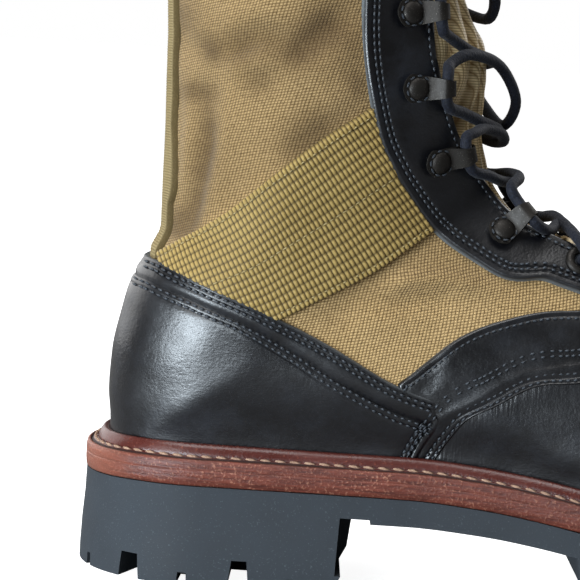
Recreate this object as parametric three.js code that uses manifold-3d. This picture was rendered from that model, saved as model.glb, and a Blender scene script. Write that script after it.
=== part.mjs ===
// A lace-up boot of canvas and black leather on a lugged rubber sole, one right boot.
// Millimetres, +X to the toe, +Y to the medial side, +Z up, origin on the floor under the heel's centre.
import * as THREE from "three";
import { mergeVertices } from "three/addons/utils/BufferGeometryUtils.js";
import Module from "manifold-3d";

const wasm = await Module();
wasm.setup();

// Driving dimensions of the last, as the canvas shell follows it.
const LAST_LENGTH = 288;
const BALL_WIDTH = 91;
const HEEL_WIDTH = 53.6;
const INSTEP_HEIGHT = 79;
const HEEL_ROUND = 29;
const TOE_ROUND = 58;
const SHAFT_WIDTH = 73;
const SHAFT_DEPTH = 97;
const SHAFT_HEIGHT = 247;

// Sole heights above the floor and sole sizes.
const HEEL_LENGTH = 82;
const HEEL_STACK = 29.4;
const BALL_STACK = 14.5;
const TOE_SPRING = 14;
const WAIST_RUBBER = 7.9;
const HEEL_TREAD = 8.2;
const FORE_TREAD = 7.2;
const MIDSOLE_THICK = 4.3;
const WELT_REACH = 6;
const WELT_THICK = 3.4;
const RIDGE_HEIGHT = 3.4;
const RIDGE_WIDTH = 2.6;

// Sheet thicknesses and the clearance between neighbours.
const WALL = 2.2;
const LEATHER = 1.4;
const TAPE = 1.2;
const BINDING_HEIGHT = 14;
const TONGUE_THICK = 2;
const INSOLE_THICK = 3;
const GAP = 0.3;

// The outside of the leather, seen from the canvas shell, and the sole's edge beyond it.
const SKIN = GAP + LEATHER;
const SOLE_REACH = SKIN + GAP + WELT_REACH;
const BACK_X = SOLE_REACH - HEEL_LENGTH / 2;
const TOE_X = BACK_X + LAST_LENGTH;
const DEEP = 200;

const clamp = (v, low, high) => Math.min(high, Math.max(low, v));
const ease = (v) => {
  const t = clamp(v, 0, 1);
  return t * t * (3 - 2 * t);
};
const mix = (a, b, t) => a + (b - a) * t;

// A smooth curve through table rows: the value of one column at a place of another column.
function through(rows, from, to) {
  const at = rows.map(from);
  const value = rows.map(to);
  const slope = at.map((_, i) => {
    if (i === 0 || i === at.length - 1) return 0;
    const before = (value[i] - value[i - 1]) / (at[i] - at[i - 1]);
    const after = (value[i + 1] - value[i]) / (at[i + 1] - at[i]);
    return before * after > 0 ? (2 * before * after) / (before + after) : 0;
  });
  return (place) => {
    const p = clamp(place, at[0], at[at.length - 1]);
    let i = 0;
    while (i < at.length - 2 && p > at[i + 1]) i++;
    const span = at[i + 1] - at[i];
    const t = (p - at[i]) / span;
    const rise = value[i + 1] - value[i];
    const bend = (slope[i] + slope[i + 1]) * span - 2 * rise;
    const lift = 3 * rise - (2 * slope[i] + slope[i + 1]) * span;
    return value[i] + t * (slope[i] * span + t * (lift + t * bend));
  };
}

// The last's outline from below, in shares of its length and of the ball's or the heel's width.
const PLAN = [
  { at: 0.0, lateral: 0.49, medial: 0.49, of: HEEL_WIDTH },
  { at: 0.13, lateral: 0.5, medial: 0.49, of: HEEL_WIDTH },
  { at: 0.22, lateral: 0.503, medial: 0.465, of: HEEL_WIDTH },
  { at: 0.3, lateral: 0.3, medial: 0.25, of: BALL_WIDTH },
  { at: 0.4, lateral: 0.33, medial: 0.235, of: BALL_WIDTH },
  { at: 0.5, lateral: 0.39, medial: 0.28, of: BALL_WIDTH },
  { at: 0.6, lateral: 0.455, medial: 0.385, of: BALL_WIDTH },
  { at: 0.69, lateral: 0.5, medial: 0.475, of: BALL_WIDTH },
  { at: 0.78, lateral: 0.5, medial: 0.5, of: BALL_WIDTH },
  { at: 0.88, lateral: 0.48, medial: 0.475, of: BALL_WIDTH },
  { at: 1.0, lateral: 0.45, medial: 0.44, of: BALL_WIDTH },
];
const planAt = (row) => BACK_X + row.at * LAST_LENGTH;
const planHalf = {
  lateral: through(PLAN, planAt, (row) => row.lateral * row.of),
  medial: through(PLAN, planAt, (row) => row.medial * row.of),
};
const TOE_SHIFT = 0.05 * BALL_WIDTH;
const rounding = (depth, reach, power) =>
  Math.pow(1 - Math.pow(1 - clamp(depth / reach, 0, 1), power), 1 / power);
const toeRound = (x) => rounding(TOE_X - x, TOE_ROUND, 2.35);

// The seat line where leather midsole meets rubber: shares of heel stack and toe spring along the last.
const SEAT = [
  { at: -0.03, heel: 0.93, toe: 0 },
  { at: 0.04, heel: 0.985, toe: 0 },
  { at: 0.15, heel: 1.0, toe: 0 },
  { at: 0.31, heel: 1.0, toe: 0 },
  { at: 0.38, heel: 0.93, toe: 0 },
  { at: 0.44, heel: 0.8, toe: 0 },
  { at: 0.51, heel: 0.575, toe: 0 },
  { at: 0.58, heel: 0.32, toe: 0 },
  { at: 0.65, heel: 0.08, toe: 0 },
  { at: 0.69, heel: 0, toe: 0 },
  { at: 0.8, heel: 0, toe: 0.02 },
  { at: 0.88, heel: 0, toe: 0.3 },
  { at: 0.96, heel: 0, toe: 0.75 },
  { at: 1.03, heel: 0, toe: 1.1 },
];
const seat = through(
  SEAT,
  planAt,
  (row) => BALL_STACK + row.heel * (HEEL_STACK - BALL_STACK) + row.toe * TOE_SPRING,
);
const FEATHER = MIDSOLE_THICK + 2 * GAP;
const feather = (x) => seat(x) + FEATHER;

// Heights up the boot, by shares: the lower ones follow the instep, and the ones over it the shaft.
const PIVOT_X = BACK_X + 0.502 * LAST_LENGTH;
const INSTEP_RATIO = 0.4359;
const instepTop = feather(PIVOT_X) + INSTEP_HEIGHT;
const levelAt = (up) =>
  up < INSTEP_RATIO
    ? (up / INSTEP_RATIO) * instepTop
    : mix(instepTop, SHAFT_HEIGHT, (up - INSTEP_RATIO) / (1 - INSTEP_RATIO));

// The back line of the shell from the seat to the collar: how far it lies before the heel's rearmost point.
const BACK = [
  { up: 0.1, forward: 0.012 },
  { up: 0.17, forward: 0.011 },
  { up: 0.215, forward: 0.0 },
  { up: 0.26, forward: 0.005 },
  { up: 0.31, forward: 0.03 },
  { up: 0.352, forward: 0.058 },
  { up: 0.385, forward: 0.1 },
  { up: 0.42, forward: 0.132 },
  { up: 0.5, forward: 0.13 },
  { up: 0.62, forward: 0.122 },
  { up: 0.8, forward: 0.1 },
  { up: 1.06, forward: 0.072 },
];
const backLine = through(
  BACK,
  (row) => levelAt(row.up),
  (row) => BACK_X - 1.1 + row.forward * SHAFT_DEPTH,
);

// The crest line from the toe to the throat: its height over the feather line.
const CREST = [
  { at: 0.49, height: 1.0 },
  { at: 0.56, height: 0.9 },
  { at: 0.63, height: 0.785 },
  { at: 0.7, height: 0.68 },
  { at: 0.78, height: 0.585 },
  { at: 0.86, height: 0.505 },
  { at: 0.93, height: 0.45 },
  { at: 1.0, height: 0.42 },
];
const crestHeight = through(CREST, planAt, (row) => row.height * INSTEP_HEIGHT);
const TIP_ROUND = 40;
const crestLine = (x) => feather(x) + crestHeight(x) * rounding(TOE_X - x, TIP_ROUND, 2.7);

// The front line of the shaft, from the throat's bend to the collar, before the shaft's back.
const FRONT = [
  { up: 0.455, forward: 1.38 },
  { up: 0.475, forward: 1.22 },
  { up: 0.5, forward: 1.12 },
  { up: 0.53, forward: 1.09 },
  { up: 0.57, forward: 1.07 },
  { up: 0.62, forward: 1.06 },
  { up: 0.66, forward: 1.04 },
  { up: 0.7, forward: 0.99 },
  { up: 0.74, forward: 0.96 },
  { up: 0.85, forward: 0.95 },
  { up: 1.06, forward: 0.955 },
];
const FRONT_BASE = BACK_X + 0.11 * SHAFT_DEPTH;
const frontPoint = ({ up, forward }) =>
  new THREE.Vector2(FRONT_BASE + (forward - 0.06) * SHAFT_DEPTH, levelAt(up));

// Side view of the shell as three poly-lines: the crest and front, and the bottom and back.
const PIVOT = new THREE.Vector2(PIVOT_X, levelAt(0.607));
const TOP_Z = levelAt(1.05);
const FLOOR_DEPTH = 14;
const steps = (count, make) => Array.from({ length: count + 1 }, (_, i) => make(i / count));
const crestCurve = new THREE.SplineCurve([
  ...FRONT.slice().reverse().map(frontPoint),
  ...[0, 0.25, 0.5, 0.75, 1].map((t) => {
    const x = mix(PIVOT.x, TOE_X - 0.1, t);
    return new THREE.Vector2(x, crestLine(x));
  }),
]);
const frontPoly = crestCurve
  .getSpacedPoints(160)
  .filter((p) => p.x < PIVOT.x)
  .concat([new THREE.Vector2(PIVOT.x, crestLine(PIVOT.x))]);
const innerPoly = [
  ...steps(30, (t) => {
    const x = mix(PIVOT.x, backLine(feather(BACK_X)), t);
    return new THREE.Vector2(x, feather(x));
  }),
  ...steps(40, (t) => {
    const z = mix(feather(BACK_X), TOP_Z, t);
    return new THREE.Vector2(backLine(z), z);
  }),
];
const outerPoly = [
  ...steps(30, (t) => {
    const x = mix(PIVOT.x, backLine(feather(BACK_X)), t);
    return new THREE.Vector2(x, feather(x) - FLOOR_DEPTH);
  }),
  ...innerPoly.slice(31),
];

// Where a ray from a point in a direction first meets a poly-line, as a distance.
function meets(from, direction, line) {
  for (let i = 0; i < line.length - 1; i++) {
    const a = line[i];
    const b = line[i + 1];
    const ex = b.x - a.x;
    const ey = b.y - a.y;
    const cross = direction.x * ey - direction.y * ex;
    if (Math.abs(cross) < 1e-12) continue;
    const t = ((a.x - from.x) * ey - (a.y - from.y) * ex) / cross;
    const u = ((a.x - from.x) * direction.y - (a.y - from.y) * direction.x) / cross;
    if (u >= -1e-9 && u <= 1 + 1e-9 && t > 0) return t;
  }
  return undefined;
}

// A section plane of the shell: upright over the foot, turning about the pivot, then level up the shaft.
const FAN = 70;
function plane(v) {
  if (v <= 0) {
    const x = PIVOT.x - v;
    const top = crestLine(x);
    return {
      v,
      from: new THREE.Vector2(x, top),
      along: new THREE.Vector2(0, -1),
      inner: top - feather(x),
      outer: top - feather(x) + FLOOR_DEPTH,
      foot: x,
    };
  }
  const angle = Math.min(v / FAN, Math.PI / 2);
  const along = new THREE.Vector2(-Math.sin(angle), -Math.cos(angle));
  const lift = Math.max(0, v - (FAN * Math.PI) / 2);
  const source = new THREE.Vector2(PIVOT.x, PIVOT.y + lift);
  const near = meets(source, along, frontPoly);
  const inner = meets(source, along, innerPoly) - near;
  const outer = meets(source, along, outerPoly) - near;
  const from = source.clone().addScaledVector(along, near);
  const end = from.clone().addScaledVector(along, inner);
  const foot = end.y < feather(BACK_X) + 0.5 ? end.x : undefined;
  return { v, from, along, inner, outer, foot };
}
const LEVEL = (FAN * Math.PI) / 2;
const degrees = (value) => (FAN * value * Math.PI) / 180;
const footAt = (share) => PIVOT.x - (BACK_X + share * LAST_LENGTH);
const shaftAt = (share) => LEVEL + share * (SHAFT_HEIGHT - PIVOT.y);
const HEEL_X = backLine(feather(BACK_X));
const CORNER = Math.atan2(PIVOT.x - HEEL_X, PIVOT.y - feather(BACK_X)) * FAN;
const LOW_CORNER = Math.atan2(PIVOT.x - HEEL_X, PIVOT.y - feather(BACK_X) + FLOOR_DEPTH) * FAN;

// Sections of the shell: half widths, where they are widest on the way down or back, and how full they are.
const SECTIONS = [
  { v: footAt(1.0), lateral: 0.45, medial: 0.45, of: BALL_WIDTH, widest: 0.8, full: 2.6, crest: 0.04 },
  { v: footAt(0.88), lateral: 0.49, medial: 0.485, of: BALL_WIDTH, widest: 0.8, full: 2.5, crest: 0.045 },
  { v: footAt(0.78), lateral: 0.512, medial: 0.51, of: BALL_WIDTH, widest: 0.8, full: 2.3, crest: 0.05 },
  { v: footAt(0.69), lateral: 0.512, medial: 0.49, of: BALL_WIDTH, widest: 0.82, full: 2.1, crest: 0.06 },
  { v: footAt(0.6), lateral: 0.47, medial: 0.42, of: BALL_WIDTH, widest: 0.84, full: 1.9, crest: 0.05 },
  { v: footAt(0.502), lateral: 0.405, medial: 0.35, of: BALL_WIDTH, widest: 0.82, full: 1.85, crest: 0.02 },
  { v: degrees(20), lateral: 0.365, medial: 0.34, of: BALL_WIDTH, widest: 0.72, full: 1.8, crest: 0 },
  { v: degrees(40), lateral: 0.36, medial: 0.355, of: BALL_WIDTH, widest: 0.66, full: 1.8, crest: 0 },
  { v: degrees(60), lateral: 0.455, medial: 0.455, of: SHAFT_WIDTH, widest: 0.62, full: 1.85, crest: 0 },
  { v: degrees(75), lateral: 0.475, medial: 0.475, of: SHAFT_WIDTH, widest: 0.61, full: 1.78, crest: 0 },
  { v: degrees(90), lateral: 0.495, medial: 0.495, of: SHAFT_WIDTH, widest: 0.6, full: 1.75, crest: 0 },
  { v: shaftAt(0.4), lateral: 0.51, medial: 0.51, of: SHAFT_WIDTH, widest: 0.57, full: 1.8, crest: 0 },
  { v: shaftAt(1.1), lateral: 0.54, medial: 0.54, of: SHAFT_WIDTH, widest: 0.55, full: 1.85, crest: 0 },
].sort((a, b) => a.v - b.v);
const column = (name, scaled) =>
  through(SECTIONS, (row) => row.v, (row) => row[name] * (scaled ? row.of : 1));
const widthOf = { lateral: column("lateral", true), medial: column("medial", true) };
const widestOf = column("widest", false);
const fullOf = column("full", false);
const crestOf = column("crest", true);
const TAIL = 0.42 * SHAFT_WIDTH;
const SHAFT_ROUND = 1.42 * HEEL_ROUND;

// The side's distance from the middle plane, at a place of the side view and its section plane.
function halfWidth(side, p, x, z, run) {
  const share = clamp(run / p.inner, 0, 1);
  const widest = widestOf(p.v);
  const wide = widthOf[side](p.v);
  const low = planHalf[side](x);
  const tail = p.foot === undefined ? mix(low, TAIL, ease((p.v - CORNER) / degrees(22))) : low;
  const full = fullOf(p.v);
  const swell = Math.pow(1 - Math.pow(1 - Math.min(share / widest, 1), full), 0.5);
  const upright = 1 - (WELT_THICK + RIDGE_HEIGHT + 1.5) / p.inner;
  const fall = ease((share - widest) / (upright - widest));
  const body = mix(wide, tail, fall);
  const round = mix(HEEL_ROUND, SHAFT_ROUND, ease((z - levelAt(0.3)) / (levelAt(0.6) - levelAt(0.3))));
  const heel = rounding(x - backLine(Math.max(z, feather(BACK_X))), round, 2.15);
  const toe = toeRound(x);
  const sign = side === "lateral" ? -1 : 1;
  const crest = crestOf(p.v) * (1 - swell);
  return crest + TOE_SHIFT * (1 - toe) + sign * Math.max(body * swell * heel * toe, 0.6);
}

// One closed form of the shell, its vertices moved out along their normals by an offset.
const AROUND = 8;
const PLANES = [
  ...[0.0005, 0.006, 0.025, 0.065, 0.125, 0.205, 0.3, 0.4].map((share) => footAt(1 - share)),
  ...[0, 11, 21, 30, 39].map(degrees),
  LOW_CORNER - 0.4,
  CORNER,
  ...[58, 66, 77, 90].map(degrees),
  ...[0.22, 0.55, 1.1].map(shaftAt),
].map(plane);
const base = (() => {
  const positions = [];
  const index = [];
  const ring = 2 * (AROUND + 1);
  for (const p of PLANES) {
    const side = (name, i) => {
      const t = (1 - Math.cos((Math.PI * i) / AROUND)) / 2;
      const run = clamp(t * p.outer, 0.02, p.outer - 0.02);
      const x = p.from.x + p.along.x * run;
      const z = p.from.y + p.along.y * run;
      positions.push(x, halfWidth(name, p, x, z, run), z);
    };
    for (let i = 0; i <= AROUND; i++) side("lateral", i);
    for (let i = AROUND; i >= 0; i--) side("medial", i);
  }
  for (let r = 0; r < PLANES.length - 1; r++)
    for (let i = 0; i < ring; i++) {
      const a = r * ring + i;
      const b = r * ring + ((i + 1) % ring);
      index.push(a, a + ring, b, b, a + ring, b + ring);
    }
  for (const r of [0, PLANES.length - 1])
    for (let i = 0; i < AROUND; i++) {
      const a = r * ring + i;
      const b = r * ring + ring - 1 - i;
      const faces = [a, b, a + 1, b, b - 1, a + 1];
      index.push(...(r === 0 ? faces.reverse() : faces));
    }
  const geometry = new THREE.BufferGeometry();
  geometry.setAttribute("position", new THREE.Float32BufferAttribute(positions, 3));
  geometry.setIndex(index);
  geometry.computeVertexNormals();
  return geometry;
})();

function solid(geometry) {
  const bare = geometry.clone();
  bare.deleteAttribute("normal");
  bare.deleteAttribute("uv");
  const merged = mergeVertices(bare, 1e-4);
  return new wasm.Manifold(
    new wasm.Mesh({
      numProp: 3,
      vertProperties: new Float32Array(merged.attributes.position.array),
      triVerts: new Uint32Array(merged.index.array),
    }),
  );
}

function moved(offset) {
  const geometry = base.clone();
  const at = geometry.attributes.position;
  const out = geometry.attributes.normal;
  for (let i = 0; i < at.array.length; i++) at.array[i] += out.array[i] * offset;
  return geometry;
}
const form = (offset) => solid(moved(offset));

// A side-view outline (x and z) as a prism across the boot, between two y values.
function sidePrism(outline, y0, y1) {
  const shape = new THREE.Shape(outline.map(([x, z]) => new THREE.Vector2(x, z)));
  const geometry = new THREE.ExtrudeGeometry(shape, { depth: y1 - y0, bevelEnabled: false });
  geometry.rotateX(Math.PI / 2);
  geometry.translate(0, y1, 0);
  return solid(geometry);
}

// The last's outline seen from above, moved out by a distance.
function outline(distance) {
  const count = 18;
  const points = [];
  const at = (t) => mix(BACK_X, TOE_X, (1 - Math.cos(Math.PI * t)) / 2);
  const halves = (side, x) => {
    const heel = rounding(x - BACK_X, HEEL_ROUND, 2.15);
    const sign = side === "lateral" ? -1 : 1;
    return TOE_SHIFT * (1 - toeRound(x)) + sign * planHalf[side](x) * heel * toeRound(x);
  };
  for (let i = 0; i < count; i++) points.push([at(i / count), halves("lateral", at(i / count))]);
  for (let i = count; i > 0; i--) points.push([at(i / count), halves("medial", at(i / count))]);
  return points.map(([x, y], i) => {
    const a = points[(i + points.length - 1) % points.length];
    const b = points[(i + 1) % points.length];
    const length = Math.hypot(b[0] - a[0], b[1] - a[1]);
    return [x + ((b[1] - a[1]) / length) * distance, y - ((b[0] - a[0]) / length) * distance];
  });
}

// An upright prism over an outline, its foot and head each moved out by their own distance.
function uprightPrism(foot, head, z0, z1) {
  const ring = foot.length;
  const positions = [...foot.flatMap(([x, y]) => [x, y, z0]), ...head.flatMap(([x, y]) => [x, y, z1])];
  const index = [];
  const faces = THREE.ShapeUtils.triangulateShape(foot.map(([x, y]) => new THREE.Vector2(x, y)), []);
  for (const [a, b, c] of faces) index.push(a, c, b, ring + a, ring + b, ring + c);
  for (let i = 0; i < ring; i++) {
    const j = (i + 1) % ring;
    index.push(i, j, ring + i, j, ring + j, ring + i);
  }
  const geometry = new THREE.BufferGeometry();
  geometry.setAttribute("position", new THREE.Float32BufferAttribute(positions, 3));
  geometry.setIndex(index);
  return solid(geometry);
}

// A band between two heights over the seat line, along the whole sole.
const SEAT_STEPS = 26;
const SPARE = 30;
function band(low, high) {
  const ends = [BACK_X - SPARE, TOE_X + SPARE];
  const line = (lift) => steps(SEAT_STEPS, (t) => mix(ends[0], ends[1], t)).map((x) => [x, seat(x) + lift]);
  return sidePrism([...line(low), ...line(high).reverse()], -DEEP, DEEP);
}

const group = new THREE.Group();
function add(name, made, material) {
  const mesh = made.getMesh();
  const geometry = new THREE.BufferGeometry();
  geometry.setAttribute("position", new THREE.BufferAttribute(new Float32Array(mesh.vertProperties), 3));
  geometry.setIndex(new THREE.BufferAttribute(new Uint32Array(mesh.triVerts), 1));
  const object = new THREE.Mesh(geometry, material);
  object.name = name;
  group.add(object);
}
const finish = (color, roughness, metalness = 0) =>
  new THREE.MeshStandardMaterial({ color, roughness, metalness });
const canvas = finish(0xa08a5e, 0.9);
const tongueCloth = finish(0x8a6d45, 0.8);
const blackLeather = finish(0x222328, 0.4);
const midsoleLeather = finish(0x8f4f3c, 0.55);
const weltLeather = finish(0x5c2a22, 0.45);
const webbing = finish(0x9c8a4c, 0.8);
const rubber = finish(0x363c42, 0.8);
const boardLeather = finish(0xb59b74, 0.8);

// Outsole: heel block, waist and forefoot in one moulding, with its lugs.
const edge = outline(SOLE_REACH);
const EDGE_FLARE = 0.8;
const waistStart = HEEL_LENGTH / 2;
const foreStart = BACK_X + 0.482 * LAST_LENGTH;
const foreRubber = BALL_STACK - FORE_TREAD;
const under = (x) => {
  const share = ease((x - waistStart) / (1.2 * (foreStart - waistStart)));
  return seat(x) - mix(WAIST_RUBBER, foreRubber, share);
};
const TREAD_WEAR = 0.5;
const treadLine = (x) => Math.max(0, under(x) - FORE_TREAD - TREAD_WEAR);
const STEP_SLANT = 1.5;
const heelEnd = waistStart - 4 * STEP_SLANT;
const soleSide = [
  [BACK_X - SPARE, 0],
  [heelEnd, 0],
  [waistStart - 0.8 * STEP_SLANT, 1.17 * HEEL_TREAD],
  [waistStart, under(waistStart)],
  ...steps(12, (t) => mix(waistStart + 2 * STEP_SLANT, foreStart, t)).map((x) => [x, under(x)]),
  [foreStart + STEP_SLANT, treadLine(foreStart + STEP_SLANT)],
  ...steps(16, (t) => mix(foreStart + 2 * STEP_SLANT, TOE_X + SPARE, t)).map((x) => [x, treadLine(x)]),
  ...steps(SEAT_STEPS, (t) => mix(TOE_X + SPARE, BACK_X - SPARE, t)).map((x) => [x, seat(x)]),
];
const block = uprightPrism(outline(SOLE_REACH + EDGE_FLARE), edge, 0, HEEL_STACK);
const blockTop = uprightPrism(edge, edge, HEEL_STACK, HEEL_STACK + SPARE);

// Tread grooves on each side, from a place near the middle to one beyond the edge, by shares of the last's
// length and the ball's width. Their width at the floor and at the ceiling is in shares of a big groove.
const GROOVE_WIDTH = 8;
const GROOVES = [
  { from: 0.021, in: 0.088, to: -0.038, out: 0.242, foot: 0.38, top: 0.25, depth: 0.45, of: HEEL_TREAD },
  { from: 0.056, in: 0.132, to: 0.007, out: 0.484, foot: 1.06, top: 0.69, depth: 0.92, of: HEEL_TREAD },
  { from: 0.087, in: 0.242, to: 0.082, out: 0.484, foot: 0.5, top: 0.31, depth: 0.45, of: HEEL_TREAD },
  { from: 0.144, in: 0.132, to: 0.141, out: 0.484, foot: 1.0, top: 0.56, depth: 1, of: HEEL_TREAD },
  { from: 0.194, in: 0.242, to: 0.196, out: 0.484, foot: 0.5, top: 0.31, depth: 0.45, of: HEEL_TREAD },
  { from: 0.257, in: 0.132, to: 0.257, out: 0.549, foot: 1.25, top: 1.12, depth: 1.1, of: HEEL_TREAD },
  { from: 0.521, in: 0.165, to: 0.896, out: 0.165, foot: 0.62, top: 0.38, depth: 0.9, of: FORE_TREAD },
  { from: 0.639, in: -0.011, to: 0.66, out: 0.176, foot: 0.62, top: 0.38, depth: 0.7, of: FORE_TREAD },
  { from: 0.778, in: -0.011, to: 0.757, out: 0.176, foot: 0.62, top: 0.38, depth: 0.7, of: FORE_TREAD },
  { from: 0.549, in: 0.176, to: 0.528, out: 0.703, foot: 0.88, top: 0.56, depth: 0.9, of: FORE_TREAD },
  { from: 0.604, in: 0.176, to: 0.59, out: 0.703, foot: 0.88, top: 0.56, depth: 0.9, of: FORE_TREAD },
  { from: 0.66, in: 0.176, to: 0.653, out: 0.703, foot: 0.88, top: 0.56, depth: 0.9, of: FORE_TREAD },
  { from: 0.715, in: 0.176, to: 0.715, out: 0.703, foot: 0.88, top: 0.56, depth: 0.9, of: FORE_TREAD },
  { from: 0.771, in: 0.176, to: 0.778, out: 0.703, foot: 0.88, top: 0.56, depth: 0.9, of: FORE_TREAD },
  { from: 0.826, in: 0.176, to: 0.847, out: 0.703, foot: 0.88, top: 0.56, depth: 0.9, of: FORE_TREAD },
  { from: 0.878, in: 0.176, to: 0.931, out: 0.659, foot: 0.88, top: 0.56, depth: 0.9, of: FORE_TREAD },
  { from: 0.917, in: 0.132, to: 1.021, out: 0.484, foot: 0.88, top: 0.56, depth: 0.9, of: FORE_TREAD },
];
function groove(row, sign) {
  const from = new THREE.Vector3(BACK_X + row.from * LAST_LENGTH, sign * row.in * BALL_WIDTH, 0);
  const to = new THREE.Vector3(BACK_X + row.to * LAST_LENGTH, sign * row.out * BALL_WIDTH, 0);
  from.z = from.x < waistStart ? 0 : treadLine(from.x);
  const along = to.clone().sub(from).setZ(0);
  const length = along.length();
  const shape = new THREE.Shape(
    [[-row.foot, -1], [row.foot, -1], [row.top, row.depth], [-row.top, row.depth]].map(
      ([width, share]) => new THREE.Vector2((width * GROOVE_WIDTH) / 2, share * row.of)));
  const geometry = new THREE.ExtrudeGeometry(shape, { depth: length, bevelEnabled: false });
  const up = new THREE.Vector3(0, 0, 1);
  along.normalize();
  const turned = new THREE.Matrix4().makeBasis(up.clone().cross(along), up, along);
  geometry.applyMatrix4(turned.setPosition(from));
  return solid(geometry);
}
const grooves = GROOVES.flatMap((row) => [groove(row, -1), groove(row, 1)]);
const outsole = block
  .add(blockTop)
  .intersect(sidePrism(soleSide, -DEEP, DEEP))
  .subtract(wasm.Manifold.union(grooves));

add("outsole", outsole, rubber);
const plate = uprightPrism(edge, edge, 0, HEEL_STACK + 2 * SPARE);
add("midsole", plate.intersect(band(GAP, GAP + MIDSOLE_THICK)), midsoleLeather);
add("insole", form(-WALL - GAP).intersect(band(FEATHER, FEATHER + INSOLE_THICK)), boardLeather);

// Welt: a strip all the way round beside the upper, with a ridge along its inner edge.
const weltSection = [
  [SKIN - 1, FEATHER],
  [SOLE_REACH, FEATHER],
  [SOLE_REACH, FEATHER + 0.8 * WELT_THICK],
  [SOLE_REACH - 1, FEATHER + WELT_THICK],
  [SKIN + GAP + RIDGE_WIDTH, FEATHER + WELT_THICK + 0.3],
  [SKIN + GAP + 0.6 * RIDGE_WIDTH, FEATHER + WELT_THICK + RIDGE_HEIGHT],
  [SKIN - 1, FEATHER + WELT_THICK + RIDGE_HEIGHT],
];
const welt = (() => {
  const rings = weltSection.map(([reach, lift]) => outline(reach).map(([x, y]) => [x, y, seat(x) + lift]));
  const ring = rings[0].length;
  const index = [];
  rings.forEach((_, r) => {
    const next = (r + 1) % rings.length;
    for (let i = 0; i < ring; i++) {
      const j = (i + 1) % ring;
      const [a, b] = [r * ring + i, r * ring + j];
      const [c, d] = [next * ring + i, next * ring + j];
      index.push(a, b, c, b, d, c);
    }
  });
  const geometry = new THREE.BufferGeometry();
  geometry.setAttribute("position", new THREE.Float32BufferAttribute(rings.flat(2), 3));
  geometry.setIndex(index);
  return solid(geometry);
})();
add("welt", welt.subtract(form(SKIN + GAP)), weltLeather);

// What lies below the feather line, over the collar and in the throat is cut from the shell.
const belowFeather = band(-DEEP / 2, FEATHER);
const FAR = 60;
const AHEAD = TOE_X + FAR;
const BEHIND = BACK_X - FAR;
const HIGH = SHAFT_HEIGHT + DEEP;
const COLLAR_SLOPE = 0.042;
const collar = (x, lift) => [x, levelAt(0.985) + COLLAR_SLOPE * (x - BACK_X) + lift];
const overCollar = (lift) =>
  sidePrism([collar(BEHIND, lift), collar(AHEAD, lift), [AHEAD, HIGH], [BEHIND, HIGH]], -DEEP, DEEP);

// Seam lines of the overlays as seen from the side, by shares of the last's length and of the height.
const THROAT = [
  { at: 0.293, up: 1.1 },
  { at: 0.294, up: 0.82 },
  { at: 0.303, up: 0.675 },
  { at: 0.313, up: 0.623 },
  { at: 0.324, up: 0.587 },
  { at: 0.342, up: 0.541 },
  { at: 0.38, up: 0.482 },
  { at: 0.413, up: 0.451 },
  { at: 0.438, up: 0.441 },
  { at: 0.469, up: 0.427 },
  { at: 0.524, up: 0.402 },
  { at: 0.56, up: 0.405 },
];
const STAY_REAR = [
  { at: 0.232, up: 1.1 },
  { at: 0.229, up: 0.82 },
  { at: 0.229, up: 0.7 },
  { at: 0.235, up: 0.629 },
  { at: 0.252, up: 0.551 },
  { at: 0.267, up: 0.514 },
  { at: 0.287, up: 0.479 },
  { at: 0.31, up: 0.446 },
  { at: 0.331, up: 0.424 },
  { at: 0.362, up: 0.403 },
  { at: 0.389, up: 0.387 },
  { at: 0.409, up: 0.384 },
  { at: 0.431, up: 0.387 },
  { at: 0.45, up: 0.381 },
  { at: 0.471, up: 0.374 },
  { at: 0.51, up: 0.362 },
  { at: 0.6, up: 0.35 },
];
const COUNTER_TOP = [
  { at: -0.12, up: 0.383 },
  { at: 0.03, up: 0.378 },
  { at: 0.05, up: 0.374 },
  { at: 0.08, up: 0.364 },
  { at: 0.129, up: 0.344 },
  { at: 0.168, up: 0.325 },
  { at: 0.22, up: 0.297 },
  { at: 0.286, up: 0.257 },
  { at: 0.334, up: 0.24 },
];
const COUNTER_ROW = [
  { at: -0.12, up: 0.352 },
  { at: 0.03, up: 0.347 },
  { at: 0.077, up: 0.337 },
  { at: 0.11, up: 0.322 },
  { at: 0.144, up: 0.303 },
  { at: 0.178, up: 0.281 },
  { at: 0.22, up: 0.258 },
  { at: 0.274, up: 0.243 },
  { at: 0.326, up: 0.234 },
  { at: 0.345, up: 0.232 },
];
const ARCH_JOIN = [
  { at: 0.334, up: 0.24 },
  { at: 0.322, up: 0.213 },
  { at: 0.311, up: 0.197 },
  { at: 0.302, up: 0.165 },
  { at: 0.295, up: 0.1 },
];
const STRAP_TOP = [
  { at: 0.289, up: 0.256 },
  { at: 0.304, up: 0.27 },
  { at: 0.318, up: 0.285 },
  { at: 0.344, up: 0.311 },
  { at: 0.369, up: 0.328 },
  { at: 0.399, up: 0.341 },
  { at: 0.432, up: 0.351 },
  { at: 0.471, up: 0.355 },
  { at: 0.51, up: 0.358 },
  { at: 0.6, up: 0.352 },
  { at: 0.68, up: 0.36 },
];
const STRAP_LOW = [
  { at: 0.315, up: 0.1 },
  { at: 0.333, up: 0.155 },
  { at: 0.35, up: 0.195 },
  { at: 0.366, up: 0.221 },
  { at: 0.392, up: 0.237 },
  { at: 0.422, up: 0.258 },
  { at: 0.443, up: 0.266 },
  { at: 0.475, up: 0.27 },
  { at: 0.54, up: 0.285 },
  { at: 0.6, up: 0.315 },
  { at: 0.66, up: 0.36 },
];
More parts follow.
